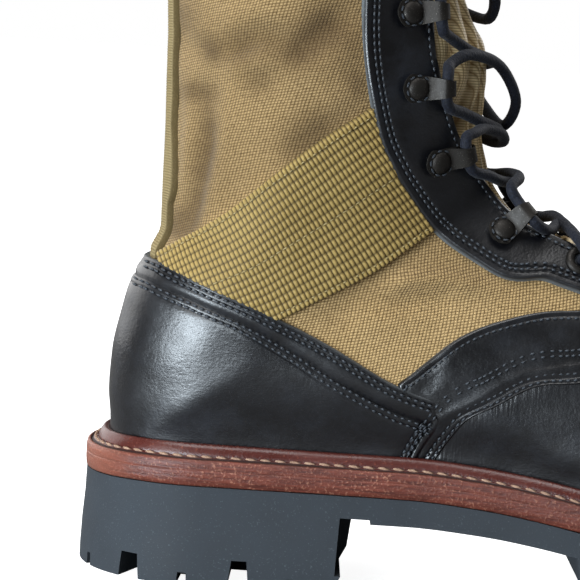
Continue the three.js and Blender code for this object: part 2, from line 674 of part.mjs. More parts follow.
const WEBBING_TOP = [
  { at: -0.02, up: 0.37 },
  { at: 0.032, up: 0.383 },
  { at: 0.064, up: 0.409 },
  { at: 0.106, up: 0.445 },
  { at: 0.152, up: 0.495 },
  { at: 0.198, up: 0.54 },
  { at: 0.243, up: 0.579 },
  { at: 0.3, up: 0.635 },
];
const WEBBING_LOW = [
  { at: 0.12, up: 0.3 },
  { at: 0.168, up: 0.324 },
  { at: 0.194, up: 0.341 },
  { at: 0.249, up: 0.377 },
  { at: 0.275, up: 0.398 },
  { at: 0.316, up: 0.435 },
  { at: 0.37, up: 0.48 },
];
const BACKSTAY_SIDE = [
  { at: 0.03, up: 0.37 },
  { at: 0.039, up: 0.415 },
  { at: 0.053, up: 0.462 },
  { at: 0.052, up: 0.512 },
  { at: 0.046, up: 0.57 },
  { at: 0.043, up: 0.7 },
  { at: 0.033, up: 1.1 },
];
const placed = ({ at, up }) => new THREE.Vector2(BACK_X + at * LAST_LENGTH, levelAt(up));
const seam = (rows, dx = 0, dz = 0) =>
  new THREE.SplineCurve(rows.map(placed)).getPoints(rows.length).map((p) => [p.x + dx, p.y + dz]);

// Hardware and lace: a row of loops up each facing over two rows of eyelets, with the lace's clearance.
const LACE = 3.4;
const BORE = LACE / 2 + GAP;
const PLATE = 0.8;
const LOOP_WIDTH = 7;
const LOOP_REACH = 8.5;
const RIVET_RADIUS = 3.4;
const RIVET_RISE = 1;
const EYELET_RADIUS = 5;
const EYELET_HOLE = 2.5;
const EYELET_RISE = 0.9;
const LOOPS = [
  { row: 1, at: 0.391, up: 0.445, turn: 45 },
  { row: 2, at: 0.323, up: 0.517, turn: 18 },
  { row: 3, at: 0.291, up: 0.604, turn: 4 },
  { row: 4, at: 0.282, up: 0.691, turn: 8 },
  { row: 5, at: 0.28, up: 0.777, turn: 5 },
  { row: 6, at: 0.28, up: 0.862, turn: 5 },
  { row: 7, at: 0.281, up: 0.943, turn: 5 },
];
const EYELETS = [
  { row: 1, at: 0.468, up: 0.414 },
  { row: 2, at: 0.528, up: 0.383 },
];
const SIDES = { lateral: -1, medial: 1 };

// Where a fitting sits on the leather over a place of the side view: its foot, its direction and its normal.
const RESTS = [[0, 0], [-0.4, 0], [0.4, -0.4], [0.4, 0.4], [0.8, -0.4], [0.8, 0.4], [1.1, 0]];
const skin = new THREE.Mesh(moved(SKIN), blackLeather);
function seated(sign, row, reach = LOOP_REACH) {
  const { x, y: z } = placed(row);
  const { turn = 0 } = row;
  const ray = new THREE.Raycaster(new THREE.Vector3(x, sign * DEEP, z), new THREE.Vector3(0, -sign, 0));
  const [hit] = ray.intersectObject(skin);
  const normal = hit.face.normal.clone();
  const lean = THREE.MathUtils.degToRad(turn);
  const along = new THREE.Vector3(Math.cos(lean), 0, Math.sin(lean)).projectOnPlane(normal).normalize();
  const side = normal.clone().cross(along);
  const heights = RESTS.map(([a, b]) => {
    const over = hit.point.clone().addScaledVector(along, a * reach);
    over.addScaledVector(side, b * LOOP_WIDTH).addScaledVector(normal, FAR);
    const [below] = new THREE.Raycaster(over, normal.clone().negate()).intersectObject(skin);
    return below ? FAR - below.distance : 0;
  });
  const foot = hit.point.clone().addScaledVector(normal, GAP + Math.max(...heights));
  return { foot, along, normal, side };
}
const frameOf = ({ foot, along, normal, side }) =>
  new THREE.Matrix4().makeBasis(along, side, normal).setPosition(foot);

// Holes for the eyelets through facing and shell.
function eyeletHole(place) {
  const pin = new THREE.CylinderGeometry(EYELET_HOLE, EYELET_HOLE, FAR / 6, 10);
  pin.rotateX(Math.PI / 2);
  return solid(pin).transform(frameOf(place).toArray());
}
const eyeletPlaces = (sign) => EYELETS.map((row) => seated(sign, row, EYELET_RADIUS));
const eyeletHoles = wasm.Manifold.union(
  Object.values(SIDES).flatMap((sign) => eyeletPlaces(sign).map(eyeletHole)),
);

// The canvas and leather shell, hollow, open underneath, at the collar and down the throat.
const throatCut = sidePrism([...seam(THROAT), [TOE_X, HIGH / 2], [TOE_X, HIGH]], -DEEP, DEEP);
const upper = form(0)
  .subtract(form(-WALL))
  .subtract(belowFeather)
  .subtract(overCollar(0))
  .subtract(throatCut)
  .subtract(eyeletHoles);
add("upper", upper, canvas);

// Tongue: a sheet inside the shell, wider than the throat on each side.
const TONGUE_LAP = 14;
const tongueEdge = seam(THROAT, -TONGUE_LAP, -TONGUE_LAP / 2);
const tongueSide = sidePrism([...tongueEdge, [TOE_X, HIGH / 2], [TOE_X, HIGH]], -DEEP, DEEP);
const tongue = form(-WALL - GAP)
  .subtract(form(-WALL - GAP - TONGUE_THICK))
  .intersect(tongueSide)
  .subtract(overCollar(4));
add("tongue", tongue, tongueCloth);

// Regions of the side view, each a prism across the boot; a reach moves a region's seam out by the gap.
const across = (points) => sidePrism(points, -DEEP, DEEP);
function counterArea(reach) {
  const join = seam(ARCH_JOIN, reach, reach);
  return across([...seam(COUNTER_TOP, reach, reach), ...join, [join.at(-1)[0], -FAR], [BEHIND, -FAR]]);
}
function underRow(reach) {
  const row = seam(COUNTER_ROW, 0, reach);
  return across([...row, [row.at(-1)[0], -FAR], [BEHIND, -FAR]]);
}
function vampArea(reach) {
  const row = seam(STRAP_LOW, -reach, reach);
  return across([...row, [AHEAD, row.at(-1)[1]], [AHEAD, -FAR], [row[0][0], -FAR]]);
}
function strapArea() {
  const row = seam(STRAP_TOP);
  return across([...row, [row.at(-1)[0], 0], [row[0][0], 0]]);
}
const stayArea = (reach) => across([...seam(STAY_REAR, -reach, -reach), [AHEAD, HIGH / 2], [AHEAD, HIGH]]);
const webbingArea = () => across([...seam(WEBBING_TOP), ...seam(WEBBING_LOW).reverse()]);
function backstayArea(reach) {
  const row = seam(BACKSTAY_SIDE, reach);
  return across([...row, [BEHIND, row.at(-1)[1]], [BEHIND, row[0][1]]]);
}
const bindingArea = (low, high) =>
  across([collar(BEHIND, low), collar(AHEAD, low), collar(AHEAD, high), collar(BEHIND, high)]);
const wholeSide = [[BEHIND, -FAR], [AHEAD, -FAR], [AHEAD, HIGH], [BEHIND, HIGH]];
const lateralHalf = sidePrism(wholeSide, -DEEP, -GAP / 2);
const medialHalf = sidePrism(wholeSide, GAP / 2, DEEP);

// Overlays lie on the shell, each cut from one sheet by its seam lines, with a gap to its neighbours.
const sheet = (thick) => form(GAP + thick).subtract(form(GAP)).subtract(belowFeather);
const leatherSheet = sheet(LEATHER);
const tapeSheet = sheet(TAPE);
const counterSheet = leatherSheet.intersect(counterArea(0));
add("counter", counterSheet.intersect(underRow(0)), blackLeather);
add("counter_band", counterSheet.subtract(underRow(GAP)), blackLeather);
add("vamp", leatherSheet.intersect(vampArea(0)), blackLeather);
const strapSheet = leatherSheet
  .intersect(strapArea())
  .subtract(counterArea(GAP))
  .subtract(vampArea(GAP))
  .subtract(stayArea(GAP));
const onlyLargest = (made) => made.decompose().sort((a, b) => b.volume() - a.volume())[0];
add("vamp_strap", onlyLargest(strapSheet), blackLeather);
const staySheet = leatherSheet
  .intersect(stayArea(0))
  .subtract(throatCut)
  .subtract(overCollar(0))
  .subtract(eyeletHoles);
add("eyestay_lateral", onlyLargest(staySheet.intersect(lateralHalf)), blackLeather);
add("eyestay_medial", onlyLargest(staySheet.intersect(medialHalf)), blackLeather);
const webbingSheet = tapeSheet
  .intersect(webbingArea())
  .subtract(counterArea(GAP))
  .subtract(stayArea(GAP))
  .subtract(backstayArea(GAP));
add("webbing_lateral", webbingSheet.intersect(lateralHalf), webbing);
add("webbing_medial", webbingSheet.intersect(medialHalf), webbing);
const backstaySheet = tapeSheet
  .intersect(backstayArea(0))
  .subtract(counterArea(GAP))
  .subtract(bindingArea(-BINDING_HEIGHT - GAP, FAR));
add("backstay", backstaySheet, webbing);
const bindingShell = form(GAP + TAPE)
  .subtract(form(-WALL - GAP - TAPE))
  .intersect(bindingArea(-BINDING_HEIGHT, GAP + TAPE));
const bindingCore = form(GAP)
  .subtract(form(-WALL - GAP))
  .intersect(bindingArea(-BINDING_HEIGHT - GAP, GAP));
add("collar_binding", bindingShell.subtract(bindingCore).subtract(stayArea(GAP)), webbing);

// A loop: a riveted plate whose far end folds over into a tunnel for the lace.
function laceLoop(place) {
  const outer = PLATE + BORE;
  const round = (radius, from, turn, count) =>
    steps(count, (t) => from + turn * t).map(
      (a) => new THREE.Vector2(LOOP_REACH + radius * Math.cos(a), outer + radius * Math.sin(a)),
    );
  const shape = new THREE.Shape([
    new THREE.Vector2(0, 0),
    ...round(outer, -Math.PI / 2, Math.PI, 4),
    new THREE.Vector2(LOOP_REACH - outer, 1.9 * outer),
    new THREE.Vector2(RIVET_RADIUS - PLATE / 2, PLATE),
  ]);
  shape.holes.push(new THREE.Path(round(BORE / Math.cos(Math.PI / 6), 0, (5 / 3) * Math.PI, 5)));
  const plate = new THREE.ExtrudeGeometry(shape, { depth: LOOP_WIDTH, bevelEnabled: false });
  plate.rotateX(Math.PI / 2).translate(0, LOOP_WIDTH / 2, 0);
  const rivet = new THREE.CylinderGeometry(RIVET_RADIUS - PLATE / 2, RIVET_RADIUS, PLATE + RIVET_RISE, 8);
  rivet.rotateX(Math.PI / 2).translate(0, 0, (PLATE + RIVET_RISE) / 2);
  return solid(plate).add(solid(rivet)).transform(frameOf(place).toArray());
}

function eyelet(place) {
  const profile = [
    [EYELET_HOLE, 0],
    [EYELET_RADIUS, 0],
    [EYELET_RADIUS - 0.7 * EYELET_RISE, EYELET_RISE],
    [EYELET_HOLE + 0.5 * EYELET_RISE, EYELET_RISE],
    [EYELET_HOLE, 0],
  ];
  const ring = new THREE.LatheGeometry(profile.map(([r, z]) => new THREE.Vector2(r, z)), 10);
  ring.rotateX(Math.PI / 2);
  return solid(ring).transform(frameOf(place).toArray());
}

const gunmetal = finish(0x46423c, 0.45, 0.8);
const laceCord = finish(0x23262f, 0.75);
for (const [side, sign] of Object.entries(SIDES)) {
  for (const row of LOOPS) add(`loop_${side}_${row.row}`, laceLoop(seated(sign, row)), gunmetal);
  eyeletPlaces(sign).forEach((place, i) => add(`eyelet_${side}_${i + 1}`, eyelet(place), gunmetal));
}

// The lace's way between two rows, from the lateral side round the front to the medial side, off the tongue.
const RISING = [
  { row: 0, at: 0.458, out: -0.247, up: 0.447 },
  { row: 0, at: 0.446, out: -0.082, up: 0.466 },
  { row: 0, at: 0.438, out: 0.068, up: 0.468 },
  { row: 0, at: 0.431, out: 0.178, up: 0.457 },
  { row: 1, at: 0.396, out: -0.233, up: 0.494 },
  { row: 1, at: 0.406, out: -0.123, up: 0.504 },
  { row: 1, at: 0.399, out: 0.014, up: 0.506 },
  { row: 1, at: 0.378, out: 0.164, up: 0.502 },
  { row: 2, at: 0.354, out: -0.301, up: 0.557 },
  { row: 2, at: 0.365, out: -0.192, up: 0.561 },
  { row: 2, at: 0.385, out: -0.055, up: 0.555 },
  { row: 2, at: 0.389, out: 0.055, up: 0.543 },
  { row: 2, at: 0.368, out: 0.192, up: 0.547 },
  { row: 3, at: 0.323, out: -0.37, up: 0.636 },
  { row: 3, at: 0.344, out: -0.274, up: 0.648 },
  { row: 3, at: 0.378, out: -0.096, up: 0.636 },
  { row: 3, at: 0.399, out: -0.014, up: 0.595 },
  { row: 3, at: 0.389, out: 0.068, up: 0.563 },
  { row: 3, at: 0.368, out: 0.192, up: 0.587 },
  { row: 3, at: 0.34, out: 0.288, up: 0.64 },
  { row: 4, at: 0.323, out: -0.301, up: 0.733 },
  { row: 4, at: 0.347, out: -0.11, up: 0.745 },
  { row: 4, at: 0.347, out: 0.082, up: 0.745 },
  { row: 4, at: 0.323, out: 0.288, up: 0.749 },
];
const FALLING = [
  { row: 0, at: 0.434, out: -0.164, up: 0.457 },
  { row: 0, at: 0.441, out: -0.055, up: 0.468 },
  { row: 0, at: 0.446, out: 0.082, up: 0.466 },
  { row: 0, at: 0.458, out: 0.247, up: 0.447 },
  { row: 1, at: 0.372, out: -0.233, up: 0.506 },
  { row: 1, at: 0.389, out: -0.123, up: 0.498 },
  { row: 1, at: 0.406, out: 0.041, up: 0.496 },
  { row: 1, at: 0.396, out: 0.219, up: 0.494 },
  { row: 2, at: 0.34, out: -0.301, up: 0.579 },
  { row: 2, at: 0.361, out: -0.192, up: 0.569 },
  { row: 2, at: 0.382, out: -0.041, up: 0.559 },
  { row: 2, at: 0.378, out: 0.11, up: 0.551 },
  { row: 2, at: 0.351, out: 0.274, up: 0.551 },
  { row: 3, at: 0.319, out: -0.342, up: 0.668 },
  { row: 3, at: 0.344, out: -0.205, up: 0.652 },
  { row: 3, at: 0.372, out: 0.0, up: 0.64 },
  { row: 3, at: 0.347, out: 0.247, up: 0.632 },
  { row: 4, at: 0.323, out: -0.301, up: 0.761 },
  { row: 4, at: 0.365, out: -0.055, up: 0.729 },
  { row: 4, at: 0.365, out: 0.055, up: 0.692 },
  { row: 4, at: 0.33, out: 0.274, up: 0.704 },
];
const PLAIN_ROWS = [5, 6];
const PLAIN = [
  { at: 0.316, out: -0.28, climb: -0.02 },
  { at: 0.344, out: -0.08, climb: -0.006 },
  { at: 0.344, out: 0.08, climb: 0.006 },
  { at: 0.316, out: 0.28, climb: 0.02 },
];
const inSpace = ({ at, out, up }) =>
  new THREE.Vector3(BACK_X + at * LAST_LENGTH, out * SHAFT_WIDTH, levelAt(up));
const plainWay = (row, sense) => {
  const middle = (LOOPS[row - 1].up + LOOPS[row].up) / 2;
  return PLAIN.map(({ at, out, climb }) => inSpace({ at, out, up: middle + sense * climb }));
};
const viaOf = (table, row) =>
  PLAIN_ROWS.includes(row)
    ? plainWay(row, table === RISING ? 1 : -1)
    : table.filter((place) => place.row === row).map(inSpace);

// The lace inside one loop, from its lower to its upper end, and through one eyelet from the inside out.
function inLoop(sign, row) {
  const { foot, along, normal, side } = seated(sign, LOOPS[row - 1]);
  const middle = foot.clone().addScaledVector(normal, PLATE + BORE).addScaledVector(along, LOOP_REACH);
  const up = side.z > 0 ? 1 : -1;
  const reach = LOOP_WIDTH / 2 + 0.7 * LACE;
  return [-reach, reach].map((s) => middle.clone().addScaledVector(side, up * s));
}
function inEyelet(sign, row) {
  const { foot, normal } = eyeletPlaces(sign)[row - 1];
  return [-SKIN - LACE / 3, EYELET_RISE + 1.1 * LACE].map((s) => foot.clone().addScaledVector(normal, s));
}

// One half of the lace from the first eyelet up to the last loop, changing sides at each row.
function halfLace(start) {
  const points = inEyelet(start, 1);
  let sign = start;
  for (let row = 0; row < LOOPS.length; row++) {
    const via = sign < 0 ? viaOf(RISING, row) : viaOf(FALLING, row).reverse();
    sign = -sign;
    points.push(...via, ...inLoop(sign, row + 1));
  }
  return points;
}

// A round cord along places in space.
const CORD_SIDES = 5;
function cord(points) {
  const rings = [];
  let across = new THREE.Vector3(0, 0, 1);
  points.forEach((point, i) => {
    const next = points[Math.min(i + 1, points.length - 1)];
    const ahead = next.clone().sub(points[Math.max(i - 1, 0)]).normalize();
    across = across.projectOnPlane(ahead).normalize();
    const third = ahead.clone().cross(across);
    for (let k = 0; k < CORD_SIDES; k++) {
      const angle = (2 * Math.PI * k) / CORD_SIDES;
      const rim = point.clone().addScaledVector(across, (LACE / 2) * Math.cos(angle));
      rings.push(rim.addScaledVector(third, (LACE / 2) * Math.sin(angle)));
    }
  });
  const index = [];
  for (let r = 0; r < points.length - 1; r++)
    for (let i = 0; i < CORD_SIDES; i++) {
      const a = r * CORD_SIDES + i;
      const b = r * CORD_SIDES + ((i + 1) % CORD_SIDES);
      index.push(a, b, a + CORD_SIDES, b, b + CORD_SIDES, a + CORD_SIDES);
    }
  const last = (points.length - 1) * CORD_SIDES;
  for (let i = 1; i < CORD_SIDES - 1; i++) index.push(0, i + 1, i, last, last + i, last + i + 1);
  const geometry = new THREE.BufferGeometry();
  const positions = rings.flatMap((p) => p.toArray());
  geometry.setAttribute("position", new THREE.Float32BufferAttribute(positions, 3));
  geometry.setIndex(index);
  return solid(geometry);
}
const halves = [halfLace(-1), halfLace(1)];
const crossings = wasm.Manifold.union(halves.map((places) => cord(places)));
add("lace_crossings", crossings, laceCord);
const OVER_BAR = [
  { at: 0.528, out: -0.151, up: 0.419 },
  { at: 0.526, out: 0.0, up: 0.431 },
  { at: 0.528, out: 0.151, up: 0.417 },
];
const bar = cord([...inEyelet(-1, 2), ...OVER_BAR.map(inSpace), ...inEyelet(1, 2).reverse()]);
add("lace_bar", bar, laceCord);

export default group;
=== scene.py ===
import bisect
import math

import bmesh
import bpy
from mathutils import Matrix, Vector, noise


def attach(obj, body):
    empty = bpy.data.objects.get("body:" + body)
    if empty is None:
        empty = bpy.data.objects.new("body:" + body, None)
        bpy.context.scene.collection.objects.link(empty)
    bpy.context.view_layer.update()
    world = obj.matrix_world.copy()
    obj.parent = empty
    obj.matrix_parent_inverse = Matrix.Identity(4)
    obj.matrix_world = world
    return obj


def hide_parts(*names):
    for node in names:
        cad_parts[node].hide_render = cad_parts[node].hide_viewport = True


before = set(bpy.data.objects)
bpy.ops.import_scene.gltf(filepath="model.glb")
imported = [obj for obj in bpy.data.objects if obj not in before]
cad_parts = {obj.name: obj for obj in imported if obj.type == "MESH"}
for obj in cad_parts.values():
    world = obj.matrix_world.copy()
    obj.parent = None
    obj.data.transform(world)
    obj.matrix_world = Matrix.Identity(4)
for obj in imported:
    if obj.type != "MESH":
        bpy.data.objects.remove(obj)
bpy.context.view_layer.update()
stage = bpy.context.scene

# Camera, floor and soft studio light. The camera stands 0.7 m to the boot's outer side at the height of its
# shaft, looks a little down and is rolled by under four degrees. It sees heel, waist and most of the shaft.
CAMERA_AT = Vector((0.01769, -0.7, 0.165))
CAMERA_AIM = Vector((0.01769, 0.0, 0.08502))
CAMERA_ROLL = math.radians(3.7)


def standing(along, across, up, place):
    """A place in space and its three directions as one matrix."""
    return Matrix(
        (
            (along.x, across.x, up.x, place.x),
            (along.y, across.y, up.y, place.y),
            (along.z, across.z, up.z, place.z),
            (0, 0, 0, 1),
        )
    )


camera_data = bpy.data.cameras.new("camera")
camera_data.lens = 143.55
camera_data.sensor_width = 36.0
camera_data.clip_start = 0.01
camera_data.clip_end = 60.0
camera = bpy.data.objects.new("camera", camera_data)
stage.collection.objects.link(camera)
stage.camera = camera
ahead = (CAMERA_AIM - CAMERA_AT).normalized()
level = ahead.cross(Vector((0, 0, 1))).normalized()
upward = level.cross(ahead)
picture_x = level * math.cos(CAMERA_ROLL) + upward * math.sin(CAMERA_ROLL)
picture_y = upward * math.cos(CAMERA_ROLL) - level * math.sin(CAMERA_ROLL)
camera.matrix_world = standing(picture_x, picture_y, -ahead, CAMERA_AT)
stage.view_settings.view_transform = "Standard"
stage.view_settings.look = "None"


def soft_light(name, wide, tall, power, place, aim, shade=(1, 1, 1)):
    """A softbox that faces a point of the boot."""
    data = bpy.data.lights.new(name, "AREA")
    data.shape = "RECTANGLE"
    data.size = wide
    data.size_y = tall
    data.color = shade
    data.energy = power
    lamp = bpy.data.objects.new(name, data)
    lamp.location = place
    lamp.rotation_euler = (Vector(aim) - Vector(place)).to_track_quat("-Z", "Y").to_euler()
    stage.collection.objects.link(lamp)


COOL = (0.8, 0.91, 1.0)
soft_light("low_softbox", 0.26, 0.09, 2.7, (-0.38, -0.375, 0.042), (0.0, -0.02, 0.035), COOL)
soft_light("front_softbox", 0.26, 0.12, 1.1, (-0.19, -0.51, 0.135), (0.03, -0.02, 0.06), COOL)
soft_light("side_softbox", 0.6, 0.6, 3.6, (-0.75, -0.95, 0.6), (0, 0, 0.1))
soft_light("top_softbox", 0.9, 0.9, 11.0, (-0.15, -0.30, 1.3), (0.04, 0, 0.1))
soft_light("rear_softbox", 2.0, 1.2, 14.0, (-1.2, 1.2, 0.5), (0, 0, 0.06))
soft_light("far_softbox", 1.0, 1.0, 8.0, (0.9, 0.7, 0.9), (0.05, 0, 0.1))

world = bpy.data.worlds.new("studio")
stage.world = world
world.use_nodes = True
studio = world.node_tree
studio.nodes.clear()
SKY_LIGHT = 0.11
sky = studio.nodes.new("ShaderNodeBackground")
sky.inputs["Color"].default_value = (1, 1, 1, 1)
sky.inputs["Strength"].default_value = SKY_LIGHT
seen_sky = studio.nodes.new("ShaderNodeBackground")
seen_sky.inputs["Color"].default_value = (1, 1, 1, 1)
seen_sky.inputs["Strength"].default_value = 1.0
ray = studio.nodes.new("ShaderNodeLightPath")
either = studio.nodes.new("ShaderNodeMixShader")
sky_out = studio.nodes.new("ShaderNodeOutputWorld")
studio.links.new(ray.outputs["Is Camera Ray"], either.inputs[0])
studio.links.new(sky.outputs[0], either.inputs[1])
studio.links.new(seen_sky.outputs[0], either.inputs[2])
studio.links.new(either.outputs[0], sky_out.inputs["Surface"])

# the camera sees the floor nearly white, and the boot gets little light back from it
FLOOR_SIZE = 12.0
FLOOR_BOUNCE = 0.25
FLOOR_SEEN = 0.85
FLOOR_GLOW = 0.93
floor_mesh = bmesh.new()
bmesh.ops.create_grid(floor_mesh, x_segments=1, y_segments=1, size=FLOOR_SIZE)
floor_data = bpy.data.meshes.new("floor")
floor_mesh.to_mesh(floor_data)
floor_mesh.free()
floor = bpy.data.objects.new("floor", floor_data)
stage.collection.objects.link(floor)
pale = bpy.data.materials.new("pale_floor")
pale.use_nodes = True
floor_tree = pale.node_tree
floor_tree.nodes.clear()
matt = floor_tree.nodes.new("ShaderNodeBsdfDiffuse")
matt.inputs["Color"].default_value = (FLOOR_BOUNCE, FLOOR_BOUNCE, FLOOR_BOUNCE, 1)
lit = floor_tree.nodes.new("ShaderNodeBsdfDiffuse")
lit.inputs["Color"].default_value = (FLOOR_SEEN, FLOOR_SEEN, FLOOR_SEEN, 1)
glow = floor_tree.nodes.new("ShaderNodeEmission")
glow.inputs["Strength"].default_value = FLOOR_GLOW
bright = floor_tree.nodes.new("ShaderNodeAddShader")
floor_ray = floor_tree.nodes.new("ShaderNodeLightPath")
floor_mix = floor_tree.nodes.new("ShaderNodeMixShader")
floor_out = floor_tree.nodes.new("ShaderNodeOutputMaterial")
for start, end in (
    (lit.outputs[0], bright.inputs[0]),
    (glow.outputs[0], bright.inputs[1]),
    (floor_ray.outputs["Is Camera Ray"], floor_mix.inputs[0]),
    (matt.outputs[0], floor_mix.inputs[1]),
    (bright.outputs[0], floor_mix.inputs[2]),
    (floor_mix.outputs[0], floor_out.inputs["Surface"]),
):
    floor_tree.links.new(start, end)
floor_data.materials.append(pale)

# Upper: the canvas and leather shell of the boot, sewn from duck canvas over the last, hollow and open at the
# collar, down the throat and underneath. Its form follows the last: plan, seat line, back, crest and front.
LAST_LENGTH = 0.288
BALL_WIDTH = 0.091
HEEL_WIDTH = 0.0536
INSTEP_HEIGHT = 0.079
HEEL_ROUND = 0.029
HEEL_CURVE = 2.15
TOE_ROUND = 0.058
TOE_CURVE = 2.35
TIP_ROUND = 0.040
TIP_CURVE = 2.7
SHAFT_WIDTH = 0.073
SHAFT_DEPTH = 0.097
SHAFT_HEIGHT = 0.247
HEEL_LENGTH = 0.082
HEEL_STACK = 0.0294
BALL_STACK = 0.0145
TOE_SPRING = 0.014
MIDSOLE_THICK = 0.0043
WALL = 0.0022
LEATHER = 0.0014
TAPE = 0.0012
GAP = 0.0003
SKIN = GAP + LEATHER
SOLE_REACH = SKIN + GAP + 0.006
BACK_X = SOLE_REACH - HEEL_LENGTH / 2
TOE_X = BACK_X + LAST_LENGTH
FEATHER = MIDSOLE_THICK + 2 * GAP
FAN = 0.07


def clamp(v, low, high):
    return min(high, max(low, v))


def ease(v):
    t = clamp(v, 0.0, 1.0)
    return t * t * (3 - 2 * t)


def mix(a, b, t):
    return a + (b - a) * t


def through(rows):
    """A smooth curve through (place, value) rows."""
    at = [r[0] for r in rows]
    value = [r[1] for r in rows]
    slope = [0.0] * len(rows)
    for i in range(1, len(rows) - 1):
        before = (value[i] - value[i - 1]) / (at[i] - at[i - 1])
        after = (value[i + 1] - value[i]) / (at[i + 1] - at[i])
        slope[i] = 2 * before * after / (before + after) if before * after > 0 else 0.0

    def read(place):
        p = clamp(place, at[0], at[-1])
        i = 0
        while i < len(at) - 2 and p > at[i + 1]:
            i += 1
        span = at[i + 1] - at[i]
        t = (p - at[i]) / span
        rise = value[i + 1] - value[i]
        bend = (slope[i] + slope[i + 1]) * span - 2 * rise
        lift = 3 * rise - (2 * slope[i] + slope[i + 1]) * span
        return value[i] + t * (slope[i] * span + t * (lift + t * bend))

    return read


def along_last(share):
    return BACK_X + share * LAST_LENGTH


# place along the last, lateral and medial half width, and the width that they are shares of
PLAN = (
    (0.0, 0.49, 0.49, HEEL_WIDTH),
    (0.13, 0.5, 0.49, HEEL_WIDTH),
    (0.22, 0.503, 0.465, HEEL_WIDTH),
    (0.3, 0.3, 0.25, BALL_WIDTH),
    (0.4, 0.33, 0.235, BALL_WIDTH),
    (0.5, 0.39, 0.28, BALL_WIDTH),
    (0.6, 0.455, 0.385, BALL_WIDTH),
    (0.69, 0.5, 0.475, BALL_WIDTH),
    (0.78, 0.5, 0.5, BALL_WIDTH),
    (0.88, 0.48, 0.475, BALL_WIDTH),
    (1.0, 0.45, 0.44, BALL_WIDTH),
)
plan_half = {
    -1: through([(along_last(r[0]), r[1] * r[3]) for r in PLAN]),
    1: through([(along_last(r[0]), r[2] * r[3]) for r in PLAN]),
}
# place along the last, share of the heel's extra height, share of the toe spring
SEAT = (
    (-0.03, 0.93, 0),
    (0.04, 0.985, 0),
    (0.15, 1.0, 0),
    (0.31, 1.0, 0),
    (0.38, 0.93, 0),
    (0.44, 0.8, 0),
    (0.51, 0.575, 0),
    (0.58, 0.32, 0),
    (0.65, 0.08, 0),
    (0.69, 0, 0),
    (0.8, 0, 0.02),
    (0.88, 0, 0.3),
    (0.96, 0, 0.75),
    (1.03, 0, 1.1),
)
seat = through(
    [(along_last(a), BALL_STACK + h * (HEEL_STACK - BALL_STACK) + t * TOE_SPRING) for a, h, t in SEAT]
)


def feather(x):
    return seat(x) + FEATHER


PIVOT_X = along_last(0.502)
INSTEP_RATIO = 0.4359
INSTEP_TOP = feather(PIVOT_X) + INSTEP_HEIGHT


def level_at(up):
    if up < INSTEP_RATIO:
        return up / INSTEP_RATIO * INSTEP_TOP
    return mix(INSTEP_TOP, SHAFT_HEIGHT, (up - INSTEP_RATIO) / (1 - INSTEP_RATIO))


# height share and how far the back lies before the heel's rearmost point
BACK = (
    (0.1, 0.012),
    (0.17, 0.011),
    (0.215, 0.0),
    (0.26, 0.005),
    (0.31, 0.03),
    (0.352, 0.058),
    (0.385, 0.1),
    (0.42, 0.132),
    (0.5, 0.13),
    (0.62, 0.122),
    (0.8, 0.1),
    (1.06, 0.072),
)
back_line = through([(level_at(u), BACK_X - 0.0011 + f * SHAFT_DEPTH) for u, f in BACK])
# place along the last and the crest's height over the feather line
CREST = (
    (0.49, 1.0),
    (0.56, 0.9),
    (0.63, 0.785),
    (0.7, 0.68),
    (0.78, 0.585),
    (0.86, 0.505),
    (0.93, 0.45),
    (1.0, 0.42),
)
crest_height = through([(along_last(a), h * INSTEP_HEIGHT) for a, h in CREST])


def rounding(depth, reach, power):
    return (1 - (1 - clamp(depth / reach, 0, 1)) ** power) ** (1 / power)


def toe_round(x):
    return rounding(TOE_X - x, TOE_ROUND, TOE_CURVE)


def crest_line(x):
    return feather(x) + crest_height(x) * rounding(TOE_X - x, TIP_ROUND, TIP_CURVE)


# height share and how far forward of the back the shaft's front lies
FRONT = (
    (0.455, 1.38),
    (0.475, 1.22),
    (0.5, 1.12),
    (0.53, 1.09),
    (0.57, 1.07),
    (0.62, 1.06),
    (0.66, 1.04),
    (0.7, 0.99),
    (0.74, 0.96),
    (0.85, 0.95),
    (1.06, 0.955),
)
FRONT_BASE = BACK_X + 0.11 * SHAFT_DEPTH
PIVOT = (PIVOT_X, level_at(0.607))
TOP_Z = level_at(1.05)


def spline(points, count):
    """A smooth line through points of the side view, as evenly numbered points."""
    last = len(points) - 1
    out = []
    for k in range(count + 1):
        w = k / count * last
        i = min(int(w), last - 1)
        t = w - i
        p0, p1 = points[max(i - 1, 0)], points[i]
        p2, p3 = points[i + 1], points[min(i + 2, last)]
        out.append(
            tuple(
                0.5
                * (
                    2 * b
                    + (c - a) * t
                    + (2 * a - 5 * b + 4 * c - d) * t * t
                    + (3 * b - a - 3 * c + d) * t ** 3
                )
                for a, b, c, d in zip(p0, p1, p2, p3)
            )
        )
    return out


front_points = [(FRONT_BASE + (f - 0.06) * SHAFT_DEPTH, level_at(u)) for u, f in reversed(FRONT)]
for k in range(5):
    crest_x = mix(PIVOT_X, TOE_X - 0.0001, k / 4)
    front_points.append((crest_x, crest_line(crest_x)))
front_poly = [p for p in spline(front_points, 15 * 24) if p[0] < PIVOT_X]
front_poly.append((PIVOT_X, crest_line(PIVOT_X)))
HEEL_X = back_line(feather(BACK_X))
inner_poly = [
    (mix(PIVOT_X, HEEL_X, k / 60), feather(mix(PIVOT_X, HEEL_X, k / 60))) for k in range(61)
]
for k in range(1, 81):
    back_z = mix(feather(BACK_X), TOP_Z, k / 80)
    inner_poly.append((back_line(back_z), back_z))


